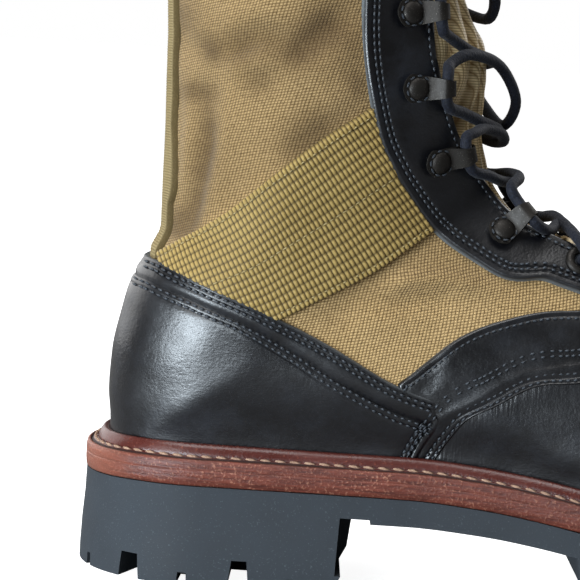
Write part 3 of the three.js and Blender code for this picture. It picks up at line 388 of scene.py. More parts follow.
def meets(start, direction, line):
    """Where a ray of the side view first meets a line of points, as a distance, or None."""
    best = None
    for a, b in zip(line, line[1:]):
        ex, ez = b[0] - a[0], b[1] - a[1]
        cross = direction[0] * ez - direction[1] * ex
        if abs(cross) < 1e-15:
            continue
        t = ((a[0] - start[0]) * ez - (a[1] - start[1]) * ex) / cross
        u = ((a[0] - start[0]) * direction[1] - (a[1] - start[1]) * direction[0]) / cross
        if -1e-6 <= u <= 1 + 1e-6 and t > 0 and (best is None or t < best):
            best = t
    return best


LEVEL = FAN * math.pi / 2
TOP_V = LEVEL + TOP_Z - PIVOT[1] - 0.0005
PLANES = 260
plane_rows = []
for k in range(PLANES + 1):
    turn = min(k / PLANES * TOP_V / FAN, math.pi / 2)
    lift = max(0.0, k / PLANES * TOP_V - LEVEL)
    source = (PIVOT[0], PIVOT[1] + lift)
    way = (-math.sin(turn), -math.cos(turn))
    near = meets(source, way, front_poly)
    plane_rows.append((near, meets(source, way, inner_poly) - near))


def section(v):
    """A section plane: its start on the crest or front, its direction, its length to the bottom or back."""
    if v <= 0:
        x = PIVOT_X - v
        return x, crest_line(x), 0.0, -1.0, crest_line(x) - feather(x)
    w = min(v, TOP_V) / TOP_V * PLANES
    i = min(int(w), PLANES - 1)
    near = mix(plane_rows[i][0], plane_rows[i + 1][0], w - i)
    length = mix(plane_rows[i][1], plane_rows[i + 1][1], w - i)
    turn = min(v / FAN, math.pi / 2)
    way = (-math.sin(turn), -math.cos(turn))
    top = PIVOT[1] + max(0.0, v - LEVEL)
    return PIVOT[0] + way[0] * near, top + way[1] * near, way[0], way[1], length


def degrees(value):
    return FAN * math.radians(value)


def foot_at(share):
    return PIVOT_X - along_last(share)


def shaft_at(share):
    return LEVEL + share * (SHAFT_HEIGHT - PIVOT[1])


CORNER = FAN * math.atan2(PIVOT_X - HEEL_X, PIVOT[1] - feather(BACK_X))
# section plane, lateral and medial half width, what they are shares of, widest place, fullness, crest shift
SECTIONS = sorted(
    (
        (foot_at(1.0), 0.45, 0.45, BALL_WIDTH, 0.8, 2.6, 0.04),
        (foot_at(0.88), 0.49, 0.485, BALL_WIDTH, 0.8, 2.5, 0.045),
        (foot_at(0.78), 0.512, 0.51, BALL_WIDTH, 0.8, 2.3, 0.05),
        (foot_at(0.69), 0.512, 0.49, BALL_WIDTH, 0.82, 2.1, 0.06),
        (foot_at(0.6), 0.47, 0.42, BALL_WIDTH, 0.84, 1.9, 0.05),
        (foot_at(0.502), 0.405, 0.35, BALL_WIDTH, 0.82, 1.85, 0.02),
        (degrees(20), 0.365, 0.34, BALL_WIDTH, 0.72, 1.8, 0),
        (degrees(40), 0.36, 0.355, BALL_WIDTH, 0.66, 1.8, 0),
        (degrees(60), 0.455, 0.455, SHAFT_WIDTH, 0.62, 1.85, 0),
        (degrees(75), 0.475, 0.475, SHAFT_WIDTH, 0.61, 1.78, 0),
        (degrees(90), 0.495, 0.495, SHAFT_WIDTH, 0.6, 1.75, 0),
        (shaft_at(0.4), 0.51, 0.51, SHAFT_WIDTH, 0.57, 1.8, 0),
        (shaft_at(1.1), 0.54, 0.54, SHAFT_WIDTH, 0.55, 1.85, 0),
    )
)
width_of = {
    -1: through([(r[0], r[1] * r[3]) for r in SECTIONS]),
    1: through([(r[0], r[2] * r[3]) for r in SECTIONS]),
}
widest_of = through([(r[0], r[4]) for r in SECTIONS])
full_of = through([(r[0], r[5]) for r in SECTIONS])
crest_of = through([(r[0], r[6] * r[3]) for r in SECTIONS])
TAIL = 0.42 * SHAFT_WIDTH
TAIL_TURN = degrees(22)
TOE_SHIFT = 0.05 * BALL_WIDTH
WELT_COVER = 0.0083
SHAFT_BACK_ROUND = 1.42 * HEEL_ROUND
ANKLE_LOW = level_at(0.3)
ANKLE_HIGH = level_at(0.6)


def side_at(side, v, length, x, z, run):
    """The shell's distance from the middle plane at a place of the side view on its section plane."""
    share = clamp(run / length, 0, 1)
    widest = widest_of(v)
    low = plan_half[side](x)
    tail = mix(low, TAIL, ease((v - CORNER) / TAIL_TURN)) if v > CORNER else low
    swell = math.sqrt(1 - (1 - min(share / widest, 1)) ** full_of(v))
    upright = 1 - WELT_COVER / length if length > WELT_COVER else 0.0
    body = mix(width_of[side](v), tail, ease((share - widest) / (upright - widest)))
    back_round = mix(HEEL_ROUND, SHAFT_BACK_ROUND, ease((z - ANKLE_LOW) / (ANKLE_HIGH - ANKLE_LOW)))
    heel = rounding(x - back_line(max(z, feather(BACK_X))), back_round, HEEL_CURVE)
    toe = toe_round(x)
    shift = crest_of(v) * (1 - swell) + TOE_SHIFT * (1 - toe)
    return shift + side * max(body * swell * heel * toe, 0.0)


def on_plane(side, v, share):
    """A point of the shell by its section plane and its share of the way down or back."""
    x0, z0, dx, dz, length = section(v)
    run = clamp(share, 0, 1) * length
    x, z = x0 + dx * run, z0 + dz * run
    return Vector((x, side_at(side, v, length, x, z, run), z))


def plane_of(x, z):
    if x >= PIVOT[0]:
        return PIVOT[0] - x
    if z >= PIVOT[1]:
        return LEVEL + z - PIVOT[1]
    return FAN * math.atan2(PIVOT[0] - x, PIVOT[1] - z)


def on_shell(side, x, z):
    """A point of the shell over a place of the side view."""
    v = plane_of(x, z)
    x0, z0, dx, dz, length = section(v)
    run = (x - x0) * dx + (z - z0) * dz
    return Vector((x, side_at(side, v, length, x, z, clamp(run, 0, length)), z))


def placed(rows):
    return [(along_last(a), level_at(u)) for a, u in rows]


THROAT = (
    (0.293, 1.1),
    (0.294, 0.82),
    (0.303, 0.675),
    (0.313, 0.623),
    (0.324, 0.587),
    (0.342, 0.541),
    (0.38, 0.482),
    (0.413, 0.451),
    (0.438, 0.441),
    (0.469, 0.427),
    (0.524, 0.402),
    (0.56, 0.405),
)
throat = spline(placed(THROAT), 90)
COLLAR_SLOPE = 0.042


def collar(x):
    return level_at(0.985) + COLLAR_SLOPE * (x - BACK_X)


PICTURE = 580
FOCAL = PICTURE * camera_data.lens / camera_data.sensor_width
FIRST_GUESS_Y = -0.03
GUESSES = 6


def seen(px, py):
    """The place of the outer side, as x and z, that the picture shows at a pixel of its 580 by 580 frame."""
    way = ahead + picture_x * ((px - PICTURE / 2) / FOCAL) + picture_y * ((PICTURE / 2 - py) / FOCAL)
    y = FIRST_GUESS_Y
    for _ in range(GUESSES):
        at = CAMERA_AT + way * ((y - CAMERA_AT.y) / way.y)
        y = on_shell(-1, at.x, at.z).y
    return at.x, at.z


def runner(line):
    """A line of points as a function of the share of its length."""
    far = [0.0]
    for a, b in zip(line, line[1:]):
        far.append(far[-1] + math.dist(a, b))

    def at(share):
        d = clamp(share, 0, 1) * far[-1]
        i = min(bisect.bisect_right(far, d), len(far) - 1) - 1
        t = (d - far[i]) / max(far[i + 1] - far[i], 1e-12)
        return [mix(a, b, t) for a, b in zip(line[i], line[i + 1])]

    at.length = far[-1]
    return at


FEEL = 0.0004


def surface(side, x, z, height=0.0):
    """A point over the shell at a place of the side view, and the way out of the shell there."""
    here = on_shell(side, x, z)
    out = (on_shell(side, x + FEEL, z) - here).cross(on_shell(side, x, z + FEEL) - here)
    if out.y * side < 0:
        out.negate()
    out.normalize()
    return here + out * height, out


def node(tree, kind, inputs=(), **settings):
    """A shader node with its settings, and its inputs set or linked by name or number."""
    made = tree.nodes.new("ShaderNode" + kind)
    for key, value in settings.items():
        setattr(made, key, value)
    for key, value in dict(inputs).items():
        if isinstance(value, bpy.types.NodeSocket):
            tree.links.new(value, made.inputs[key])
        else:
            made.inputs[key].default_value = value
    return made


def maths(tree, operation, *values):
    return node(tree, "Math", enumerate(values), operation=operation).outputs[0]


def ranged(tree, value, low, high, first=0.0, last=1.0):
    """A number's way from a low to a high limit, spread from a first to a last number."""
    return node(tree, "MapRange", {0: value, 1: low, 2: high, 3: first, 4: last}).outputs[0]


def blend(tree, share, first, second):
    """Two colours mixed by a share."""
    return node(tree, "Mix", {0: share, 6: first, 7: second}, data_type="RGBA").outputs[2]


def tint(red, green, blue):
    """A colour by its values on a screen, from 0 to 255, as linear light."""
    linear = [((v / 255 + 0.055) / 1.055) ** 2.4 if v > 10 else v / 3294 for v in (red, green, blue)]
    return (*linear, 1.0)


def finish_of(name, roughness, specular=0.5):
    """A new material: itself, its node tree and its shader."""
    made = bpy.data.materials.new(name)
    made.use_nodes = True
    shader = made.node_tree.nodes["Principled BSDF"]
    shader.inputs["Roughness"].default_value = roughness
    shader.inputs["Specular IOR Level"].default_value = specular
    return made, made.node_tree, shader


def noise_of(tree, scale, detail=2.0, roughness=0.5):
    """Noise over the object, by its number of features in a metre."""
    place = node(tree, "TexCoord").outputs["Object"]
    return node(
        tree, "TexNoise", {"Vector": place, "Scale": scale, "Detail": detail, "Roughness": roughness}
    ).outputs["Fac"]


def bumped(tree, shader, height, depth, strength=1.0, under=None):
    """Relief on a shader, from a height between 0 and 1 and its depth in metres."""
    inputs = {"Height": height, "Distance": depth, "Strength": strength}
    if under:
        inputs["Normal"] = under
    tree.links.new(node(tree, "Bump", inputs).outputs[0], shader.inputs["Normal"])


KNOT_POWER = 0.7


def woven(tree, across, along, pitch_across, pitch_along):
    """The height of a plain weave: little knots in rows and columns, each at its pitch."""
    one = maths(tree, "SINE", maths(tree, "MULTIPLY", across, math.pi / pitch_across))
    two = maths(tree, "SINE", maths(tree, "MULTIPLY", along, math.pi / pitch_along))
    both = maths(tree, "MULTIPLY", maths(tree, "ABSOLUTE", one), maths(tree, "ABSOLUTE", two))
    return maths(tree, "POWER", both, KNOT_POWER)


def piece(name, made, finishes, slot, *nodes):
    """A finished mesh as an object of the boot, in place of its CAD nodes."""
    data = bpy.data.meshes.new(name)
    made.to_mesh(data)
    made.free()
    data.shade_smooth()
    for finish in finishes:
        data.materials.append(finish)
    shown = bpy.data.objects.new(name, data)
    stage.collection.objects.link(shown)
    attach(shown, "root")
    if nodes:
        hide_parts(*nodes)
    return shown


def outward(made, verts):
    """Turns a sheet's faces so that they look away from the boot's middle plane."""
    made.normal_update()
    if sum(v.normal.y * math.copysign(1, v.co.y) for v in verts) < 0:
        bmesh.ops.reverse_faces(made, faces=list({f for v in verts for f in v.link_faces}))
    made.normal_update()


def unwrapped(made, place):
    """A texture map of a mesh from a function of a vertex, in metres."""
    layer = made.loops.layers.uv.new("UVMap")
    for face in made.faces:
        for loop in face.loops:
            loop[layer].uv = place(loop.vert)


SHAFT_MIDDLE = 0.012
TURN_SHARE = 0.6


def cloth_place(co):
    """A vertex of the shaft on the flat cloth: round the shaft and up, so that the weave keeps its size."""
    depth = max(SHAFT_WIDTH / 2 - abs(co.y), 0.0)
    turn = TURN_SHARE * depth ** 1.5 / math.sqrt(SHAFT_WIDTH / 2)
    return co.x + math.copysign(turn, co.x - SHAFT_MIDDLE), co.z


# folds of the canvas: pixels along each, depth in metres and half width in metres
FOLDS = (
    (((208, 110), (206, 140), (200, 172), (192, 204), (180, 236)), -0.0030, 0.0036),
    (((224, 112), (220, 150), (212, 190), (201, 226)), 0.0012, 0.0040),
    (((184, 120), (186, 160), (184, 200)), 0.0010, 0.0034),
    (((176, 22), (183, 38), (197, 50), (214, 48)), -0.0009, 0.0034),
    (((222, 56), (240, 46), (262, 32), (292, 44)), -0.0022, 0.0038),
    (((286, 66), (300, 53), (322, 34), (352, 8)), -0.0022, 0.0044),
    (((188, 88), (204, 94), (222, 86)), -0.0014, 0.0034),
    (((246, 86), (260, 79), (276, 88)), -0.0012, 0.0034),
    (((214, 22), (245, 20), (290, 8)), 0.0014, 0.0056),
    (((222, 74), (246, 62), (280, 60)), 0.0013, 0.0046),
    (((300, 80), (330, 60), (356, 34)), 0.0014, 0.0058),
    (((286, 150), (316, 140), (344, 122)), -0.0009, 0.0044),
    (((320, 108), (340, 98), (362, 84)), 0.0008, 0.0050),
    (((374, 290), (410, 282), (450, 281), (496, 290)), 0.0024, 0.0028),
    (((384, 306), (420, 297), (460, 297)), -0.0010, 0.0034),
    (((346, 330), (380, 320), (410, 322)), 0.0008, 0.0050),
    (((330, 312), (360, 298), (392, 284)), -0.0006, 0.0040),
    (((174, 60), (179, 110), (181, 150), (178, 205)), -0.0009, 0.0014),
)
FOLD_PARTS = 24
FOLD_END = 0.25
WAVE = 0.0005
fold_ways = [runner([seen(*p) for p in way]) for way, depth, wide in FOLDS]
fold_spots = [[way(k / FOLD_PARTS) for k in range(FOLD_PARTS + 1)] for way in fold_ways]


def folded(x, z):
    """How far the canvas stands out or in at a place of the side view, from its folds and its soft waves."""
    height = 0.0
    for (_, depth, wide), spots in zip(FOLDS, fold_spots):
        near = min(range(FOLD_PARTS + 1), key=lambda k: (spots[k][0] - x) ** 2 + (spots[k][1] - z) ** 2)
        far = math.dist(spots[near], (x, z)) / wide
        if far < 3:
            end = min(1.0, FOLD_END + 3 * min(near, FOLD_PARTS - near) / FOLD_PARTS)
            height += depth * end * math.exp(-far * far)
    return height + WAVE * noise.noise(Vector((x * 55, z * 55, 2.0)))


THROAT_END = 0.56


def throat_share(v):
    """The share of a section plane's length that the throat leaves open."""
    x0, z0, dx, dz, length = section(v)
    cut = meets((x0, z0), (dx, dz), throat) if v > PIVOT_X - along_last(THROAT_END) else None
    return cut / length if cut and cut < length else 0.0


# canvas tones, stains and painted fold shade: pixel, radius in metres and how much darker it is there
STAINS_AND_FOLD_SHADE = (
    ((208, 45), 0.0042, 0.46),
    ((212, 57), 0.0030, 0.34),
    ((240, 48), 0.0060, 0.52),
    ((268, 38), 0.0060, 0.30),
    ((297, 54), 0.0062, 0.56),
    ((320, 32), 0.0074, 0.56),
    ((182, 16), 0.0064, 0.42),
    ((196, 91), 0.0040, 0.42),
    ((208, 94), 0.0036, 0.30),
    ((185, 91), 0.0030, 0.30),
    ((264, 81), 0.0042, 0.30),
    ((252, 84), 0.0036, 0.22),
    ((207, 112), 0.0030, 0.30),
    ((207, 128), 0.0034, 0.54),
    ((205, 150), 0.0036, 0.58),
    ((201, 172), 0.0036, 0.58),
    ((196, 195), 0.0036, 0.54),
    ((188, 217), 0.0040, 0.56),
    ((178, 233), 0.0044, 0.62),
    ((308, 137), 0.0070, 0.30),
    ((324, 124), 0.0060, 0.28),
    ((292, 149), 0.0060, 0.22),
    ((348, 28), 0.0080, 0.34),
    ((357, 82), 0.0036, 0.46),
    ((366, 282), 0.008, 0.20),
    ((396, 262), 0.010, 0.14),
    ((432, 266), 0.009, 0.12),
    ((214, 168), 0.0140, 0.16),
    ((226, 196), 0.0100, 0.12),
    ((184, 220), 0.0056, 0.34),
    ((466, 276), 0.008, 0.18),
    ((330, 318), 0.006, 0.14),
)
stain_and_shade_places = [(seen(*at), radius, dark) for at, radius, dark in STAINS_AND_FOLD_SHADE]


DARKEST = 0.3


def stained_and_shaded(x, z):
    """The canvas's tone at a place of the side view, darker at stains and in painted fold shade, 1 elsewhere.
    """
    tone = 1.0
    for at, radius, dark in stain_and_shade_places:
        tone -= dark * math.exp(-((math.dist(at, (x, z)) / radius) ** 2))
    return max(tone, DARKEST)


canvas_cloth, tree, shader = finish_of("khaki_canvas", 0.92, 0.15)
cloth_uv = node(tree, "UVMap").outputs[0]
wander = node(tree, "TexNoise", {"Vector": cloth_uv, "Scale": 60.0, "Detail": 2.0}).outputs["Color"]
drift = node(tree, "VectorMath", {0: wander, 1: (0.0016, 0.0016, 0)}, operation="MULTIPLY").outputs[0]
drifted = node(tree, "VectorMath", {0: cloth_uv, 1: drift}, operation="ADD").outputs[0]
flat = node(tree, "SeparateXYZ", {0: drifted})
slubs = node(tree, "TexNoise", {"Vector": cloth_uv, "Scale": 900.0, "Detail": 1.0}).outputs[0]
rising = maths(tree, "MULTIPLY_ADD", flat.outputs[0], -0.2, flat.outputs[1])
leaning = maths(tree, "MULTIPLY_ADD", flat.outputs[1], -0.25, flat.outputs[0])
knots = woven(tree, leaning, rising, 0.00102, 0.00080)
tone = node(tree, "Attribute", attribute_name="tone").outputs["Fac"]
patchy = noise_of(tree, 45, 4.0, 0.6)
deep = blend(tree, patchy, tint(88, 67, 38), tint(104, 81, 48))
fair = blend(tree, patchy, tint(199, 165, 112), tint(219, 186, 134))
# partly painted shade: the colour darkens in the weave's gaps between knots, over the yarn's own slubs
knotty = maths(tree, "MULTIPLY_ADD", slubs, 0.7, maths(tree, "SUBTRACT", knots, 0.35))
yarn_and_weave_shade = blend(tree, knotty, deep, fair)
# painted shade: the tone darkens the canvas in its folds as well as at its stains
stained_and_shaded_yarn = blend(tree, tone, tint(70, 52, 32), yarn_and_weave_shade)
tree.links.new(stained_and_shaded_yarn, shader.inputs["Base Color"])
shader.inputs["Sheen Weight"].default_value = 0.15
bumped(tree, shader, knotty, 0.00022, 0.7)
lining_cloth, tree, shader = finish_of("lining_cloth", 0.9, 0.15)
place = node(tree, "TexCoord").outputs["Object"]
parts = node(tree, "SeparateXYZ", {0: place})
knots = woven(tree, parts.outputs[0], parts.outputs[2], 0.0011, 0.0011)
# painted shade: the lining darkens in the weave's gaps between knots
tree.links.new(blend(tree, knots, tint(96, 80, 54), tint(150, 130, 92)), shader.inputs["Base Color"])
bumped(tree, shader, knots, 0.0002, 0.6)

TOE_ROWS = 36
FAN_ROWS = 84
SHAFT_ROWS = 96
ACROSS = 74
collar_front = FRONT_BASE + 0.895 * SHAFT_DEPTH
upper_mesh = bmesh.new()
toe_v = PIVOT_X - TOE_X + 0.0002
for side in (-1, 1):
    rows = TOE_ROWS + FAN_ROWS + SHAFT_ROWS
    made = bmesh.ops.create_grid(upper_mesh, x_segments=rows, y_segments=ACROSS, size=0.5)["verts"]
    shares = {}
    for vert in made:
        i = round((vert.co.x + 0.5) * rows)
        j = round((vert.co.y + 0.5) * ACROSS)
        if i <= TOE_ROWS:
            v = toe_v * (1 - (i / TOE_ROWS) ** 2) if i < TOE_ROWS else 0.0
        elif i <= TOE_ROWS + FAN_ROWS:
            v = LEVEL * (i - TOE_ROWS) / FAN_ROWS
        else:
            lift = (i - TOE_ROWS - FAN_ROWS) / SHAFT_ROWS
            x_here = mix(collar_front, back_line(SHAFT_HEIGHT), j / ACROSS)
            v = LEVEL + lift * (collar(x_here) - PIVOT[1])
        if v not in shares:
            shares[v] = throat_share(v)
        share = mix(shares[v], 1.0, (1 - math.cos(math.pi * j / ACROSS)) / 2)
        vert.co = on_plane(side, v, share)
    outward(upper_mesh, made)
bmesh.ops.remove_doubles(upper_mesh, verts=upper_mesh.verts, dist=0.00002)
upper_mesh.normal_update()
tone_layer = upper_mesh.verts.layers.float.new("tone")
ways = [(v, v.normal.copy()) for v in upper_mesh.verts]
for vert, way in ways:
    fade = ease((abs(vert.co.y) - 0.004) / 0.012)
    # the canvas's tone darkens towards the top of the shaft
    darker_towards_top = 1 - 0.3 * ease((vert.co.z - 0.085) / 0.05)
    # the tone holds the canvas's stains and the painted shade in its folds
    vert[tone_layer] = darker_towards_top * mix(stained_and_shaded(vert.co.x, vert.co.z), 1.0, 0.7 if vert.co.y > 0 else 0.0)
    vert.co += way * folded(vert.co.x, vert.co.z) * fade
unwrapped(upper_mesh, lambda vert: cloth_place(vert.co))
upper = piece("canvas_shell", upper_mesh, [canvas_cloth, lining_cloth], "canvas", "upper")
wall = upper.modifiers.new("wall", "SOLIDIFY")
wall.thickness = WALL
wall.offset = -1
wall.material_offset = 1
wall.material_offset_rim = 0

# Tongue: a canvas sheet behind the throat, wider than the opening and sewn in at its foot. Wear has polished
# it and pressed upright pleats into it.
TONGUE_LAP = 0.014
TONGUE_THICK = 0.002
TONGUE_ROWS = 150
TONGUE_COLUMNS = 84
tongue_edge = [(x - TONGUE_LAP, z - TONGUE_LAP / 2) for x, z in throat]
tongue_cloth, tree, shader = finish_of("polished_canvas", 0.36, 0.5)
flat = node(tree, "SeparateXYZ", {0: node(tree, "UVMap").outputs[0]})
knots = woven(tree, flat.outputs[0], flat.outputs[1], 0.0009, 0.0008)
patchy = noise_of(tree, 60, 3.0)
deep = blend(tree, patchy, tint(128, 98, 54), tint(150, 118, 70))
fair = blend(tree, patchy, tint(242, 216, 162), tint(255, 238, 194))
# painted light: tints made paler than the canvas's own to make up for the facings' shade; painted shade in
# the weave's gaps
tree.links.new(blend(tree, knots, deep, fair), shader.inputs["Base Color"])
bumped(tree, shader, knots, 0.0001, 0.4)
tongue_mesh = bmesh.new()
foot_v = PIVOT_X - along_last(0.575)
top_v = LEVEL + collar(collar_front) + 0.002 - PIVOT[1]
for vert in bmesh.ops.create_grid(
    tongue_mesh, x_segments=TONGUE_COLUMNS, y_segments=TONGUE_ROWS, size=0.5
)["verts"]:
    s = vert.co.x * 2
    v = mix(foot_v, top_v, vert.co.y + 0.5)
    x0, z0, dx, dz, length = section(v)
    cut = meets((x0, z0), (dx, dz), tongue_edge)
    edge_share = min(cut / length, 0.6) if cut else 0.1
    side = 1 if s > 0 else -1
    vert.co = on_plane(side, v, edge_share * abs(s) ** 1.7)
    vert.co.y += 0.00001 * s
outward(tongue_mesh, list(tongue_mesh.verts))
ways = [(v, v.normal.copy()) for v in tongue_mesh.verts]
PLEATS = (-0.021, -0.013, -0.0065, 0.0005, 0.008, 0.0155, 0.022)
for vert, way in ways:
    y, z = vert.co.y, vert.co.z
    lean = y + 0.004 * math.sin(z * 60)
    pleat = sum(math.exp(-(((lean - at) / 0.0019) ** 2)) for at in PLEATS)
    crumple = noise.noise(Vector((y * 110, z * 60, 5.0)))
    sunk = 0.0044 * ease((vert.co.x - 0.075) / 0.02) - 0.0022 * ease((z - 0.136) / 0.02) + 0.0012
    vert.co += way * (-WALL - GAP - sunk - 0.0032 * pleat + 0.0012 * crumple)
unwrapped(tongue_mesh, lambda vert: (vert.co.y * 1.3, vert.co.z))
tongue = piece("canvas_tongue", tongue_mesh, [tongue_cloth], "tongue_canvas", "tongue")
wall = tongue.modifiers.new("wall", "SOLIDIFY")
wall.thickness = TONGUE_THICK
wall.offset = -1

# Lower heel counter: one smooth piece of black leather, moulded round the heel and drawn in under the feather
# line. Its upper edge runs under the counter band and both are sewn through with two rows.
SKIN_EDGE = (0.0, 0.00010, 0.0004, 0.0009)


def placed_line(rows):
    return spline(placed(rows), 60)


def between(line, low, high, axis=0):
    """The part of a line of points between two values of x or z, with its ends cut there."""
    out = []
    for a, b in zip(line, line[1:]):
        if a[axis] == b[axis]:
            continue
        for t in sorted(clamp((value - a[axis]) / (b[axis] - a[axis]), 0, 1) for value in (low, high)):
            at = tuple(mix(a[k], b[k], t) for k in (0, 1))
            if low - 1e-9 <= at[axis] <= high + 1e-9 and (not out or math.dist(out[-1], at) > 1e-7):
                out.append(at)
    return out


SEAM_MARKS = (-0.0006, -0.0003, 0.0, 0.0003, 0.0006)
NARROWEST = 0.004


def marks(count, low_edge=True, high_edge=True, power=1.0, low_rows=(), high_rows=()):
    """Grid lines between two borders as shares and metres: fine ones at rounded borders and at sewn rows."""
    out = [(0.0, m) for m in SKIN_EDGE] if low_edge else [(0.0, 0.0)]
    out += [((k / count) ** power, 0.0) for k in range(1, count)]
    out += [(0.0, row + m) for row in low_rows for m in SEAM_MARKS]
    out += [(1.0, m - row) for row in high_rows for m in SEAM_MARKS]
    out += [(1.0, -m) for m in SKIN_EDGE] if high_edge else [(1.0, 0.0)]
    return out


def resolved(lines, width):
    """Grid lines of a given width as shares alone, in order."""
    return sorted(clamp(share + metres / max(width, NARROWEST), 0, 1) for share, metres in lines)


def patch(left, right, low, high):
    """A place of the side view by two shares, inside four border lines that meet at their ends."""
    corners = low(0), low(1), high(0), high(1)

    def at(s, t):
        rear, front, base, roof = left(t), right(t), low(s), high(s)
        return [
            (1 - s) * rear[k]
            + s * front[k]
            + (1 - t) * base[k]
            + t * roof[k]
            - (1 - s) * (1 - t) * corners[0][k]
            - s * (1 - t) * corners[1][k]
            - (1 - s) * t * corners[2][k]
            - s * t * corners[3][k]
            for k in (0, 1)
        ]

    at.widths = (low.length + high.length) / 2, (left.length + right.length) / 2
    return at


def laid(at, s_marks, t_marks, height, half=0, wear_and_rib_shade=None):
    """A sheet over the shell. It lies on one half, or with half 0 it runs round the middle from half to half.

    height is in metres over the shell, from a spot: side, x, z and the distances to its four borders.
    """
    made = bmesh.new()
    wear_and_rib_shade_layer = made.verts.layers.float.new("wear_and_rib_shade")
    reach = len(s_marks) - 1
    columns = reach if half else 2 * reach
    rows = len(t_marks) - 1
    grid = bmesh.ops.create_grid(made, x_segments=columns, y_segments=rows, size=0.5)["verts"]
    long = at.widths[0]
    s_shares = resolved(s_marks, long)
    widths = [max(math.dist(at(s, 0), at(s, 1)), 0.001) for s in s_shares]
    t_shares = [resolved(t_marks, width) for width in widths]
    spots = {}
    for vert in grid:
        i = round((vert.co.x + 0.5) * columns) - (0 if half else reach)
        j = round((vert.co.y + 0.5) * rows)
        side = half or (1 if i > 0 else -1)
        s, t, width = s_shares[abs(i)], t_shares[abs(i)][j], widths[abs(i)]
        x, z = at(s, t)
        vert.co = on_shell(side, x, z)
        spots[vert] = (side, x, z, s * long, (1 - s) * long, t * width, (1 - t) * width)
    outward(made, grid)
    ways = {vert: vert.normal.copy() for vert in grid}
    for vert in grid:
        vert[wear_and_rib_shade_layer] = wear_and_rib_shade(*spots[vert]) if wear_and_rib_shade else 0.0
        vert.co += ways[vert] * height(*spots[vert])
    return made


def rounded(distance, radius=0.0009):
    """The share of a sheet's full height at a distance from its rounded border."""
    return math.sqrt(max(0.0, 1 - (1 - clamp(distance / radius, 0, 1)) ** 2))


def troughs(distance, rows, deep=0.00022, wide=0.0005):
    """The dents that sewn rows pull into the leather."""
    return sum(deep * math.exp(-(((distance - row) / wide) ** 2)) for row in rows)


COUNTER_TOP = (
    (-0.12, 0.383),
    (0.03, 0.378),
    (0.05, 0.374),
    (0.08, 0.364),
    (0.129, 0.344),
    (0.168, 0.325),
    (0.22, 0.297),
    (0.286, 0.257),
    (0.334, 0.24),
)
COUNTER_ROW = (
    (136, 273),
    (151, 280),
    (169, 289),
    (192, 299),
    (216, 310),
    (238, 319),
    (261, 331),
    (281, 343),
    (302, 356),
    (334, 377),
    (354, 388),
    (377, 400),
    (400, 411),
    (421, 418),
    (438, 425),
)
ARCH_JOIN = (
    (0.334, 0.24),
    (0.328, 0.213),
    (0.318, 0.190),
    (0.309, 0.160),
    (0.300, 0.1),
)
counter_top = placed_line(COUNTER_TOP)
counter_row = [seen(*at) for at in COUNTER_ROW]
arch_join = placed_line(ARCH_JOIN)


def height_on(line, x):
    """The height of a line of points over a place along the boot."""
    for a, b in zip(line, line[1:]):
        if min(a[0], b[0]) <= x <= max(a[0], b[0]) and a[0] != b[0]:
            return mix(a[1], b[1], (x - a[0]) / (b[0] - a[0]))
    return line[0][1] if abs(x - line[0][0]) < abs(x - line[-1][0]) else line[-1][1]


def from_back(line):
    """A line of points, cut where it leaves the boot's back."""
    kept = [p for p in line if p[0] > back_line(p[1])]
    return [(back_line(kept[0][1]), kept[0][1])] + kept


def back_between(low, high):
    return [(back_line(mix(low, high, k / 24)), mix(low, high, k / 24)) for k in range(25)]


def foot_line(first, last):
    return [(mix(first, last, k / 30), feather(mix(first, last, k / 30)) + 0.0004) for k in range(31)]


STITCH_JOG = 0.06
STITCH_HALF = 0.56


def stitches(made, line, side, reach, height, pitch=0.0021, thread=0.0004, fill=0.7, keep=None):
    """One row of stitches along a line of the side view, a reach to the left of it, standing at a height."""
    way = runner(line)
    count = max(int(way.length / pitch), 1)
    for k in range(count):
        jog = STITCH_JOG * noise.noise(Vector((line[0][0] * 900, k * 1.7, side)))
        (ax, az), (bx, bz) = [way((k + 0.5 + jog + half) / count) for half in (-fill / 2, fill / 2)]
        long = max(math.hypot(bx - ax, bz - az), 1e-9)
        px, pz = -(bz - az) / long * reach, (bx - ax) / long * reach
        first, out = surface(side, ax + px, az + pz, height)
        second = surface(side, bx + px, bz + pz, height)[0]
        along = second - first
        if along.length > 3 * pitch or (keep and not keep(ax + px, az + pz)):
            continue
        across = out.cross(along).normalized() * thread
        matrix = standing(along * STITCH_HALF, across, out * thread * 0.8, (first + second) / 2)
        bmesh.ops.create_icosphere(made, subdivisions=1, radius=1.0, matrix=matrix)


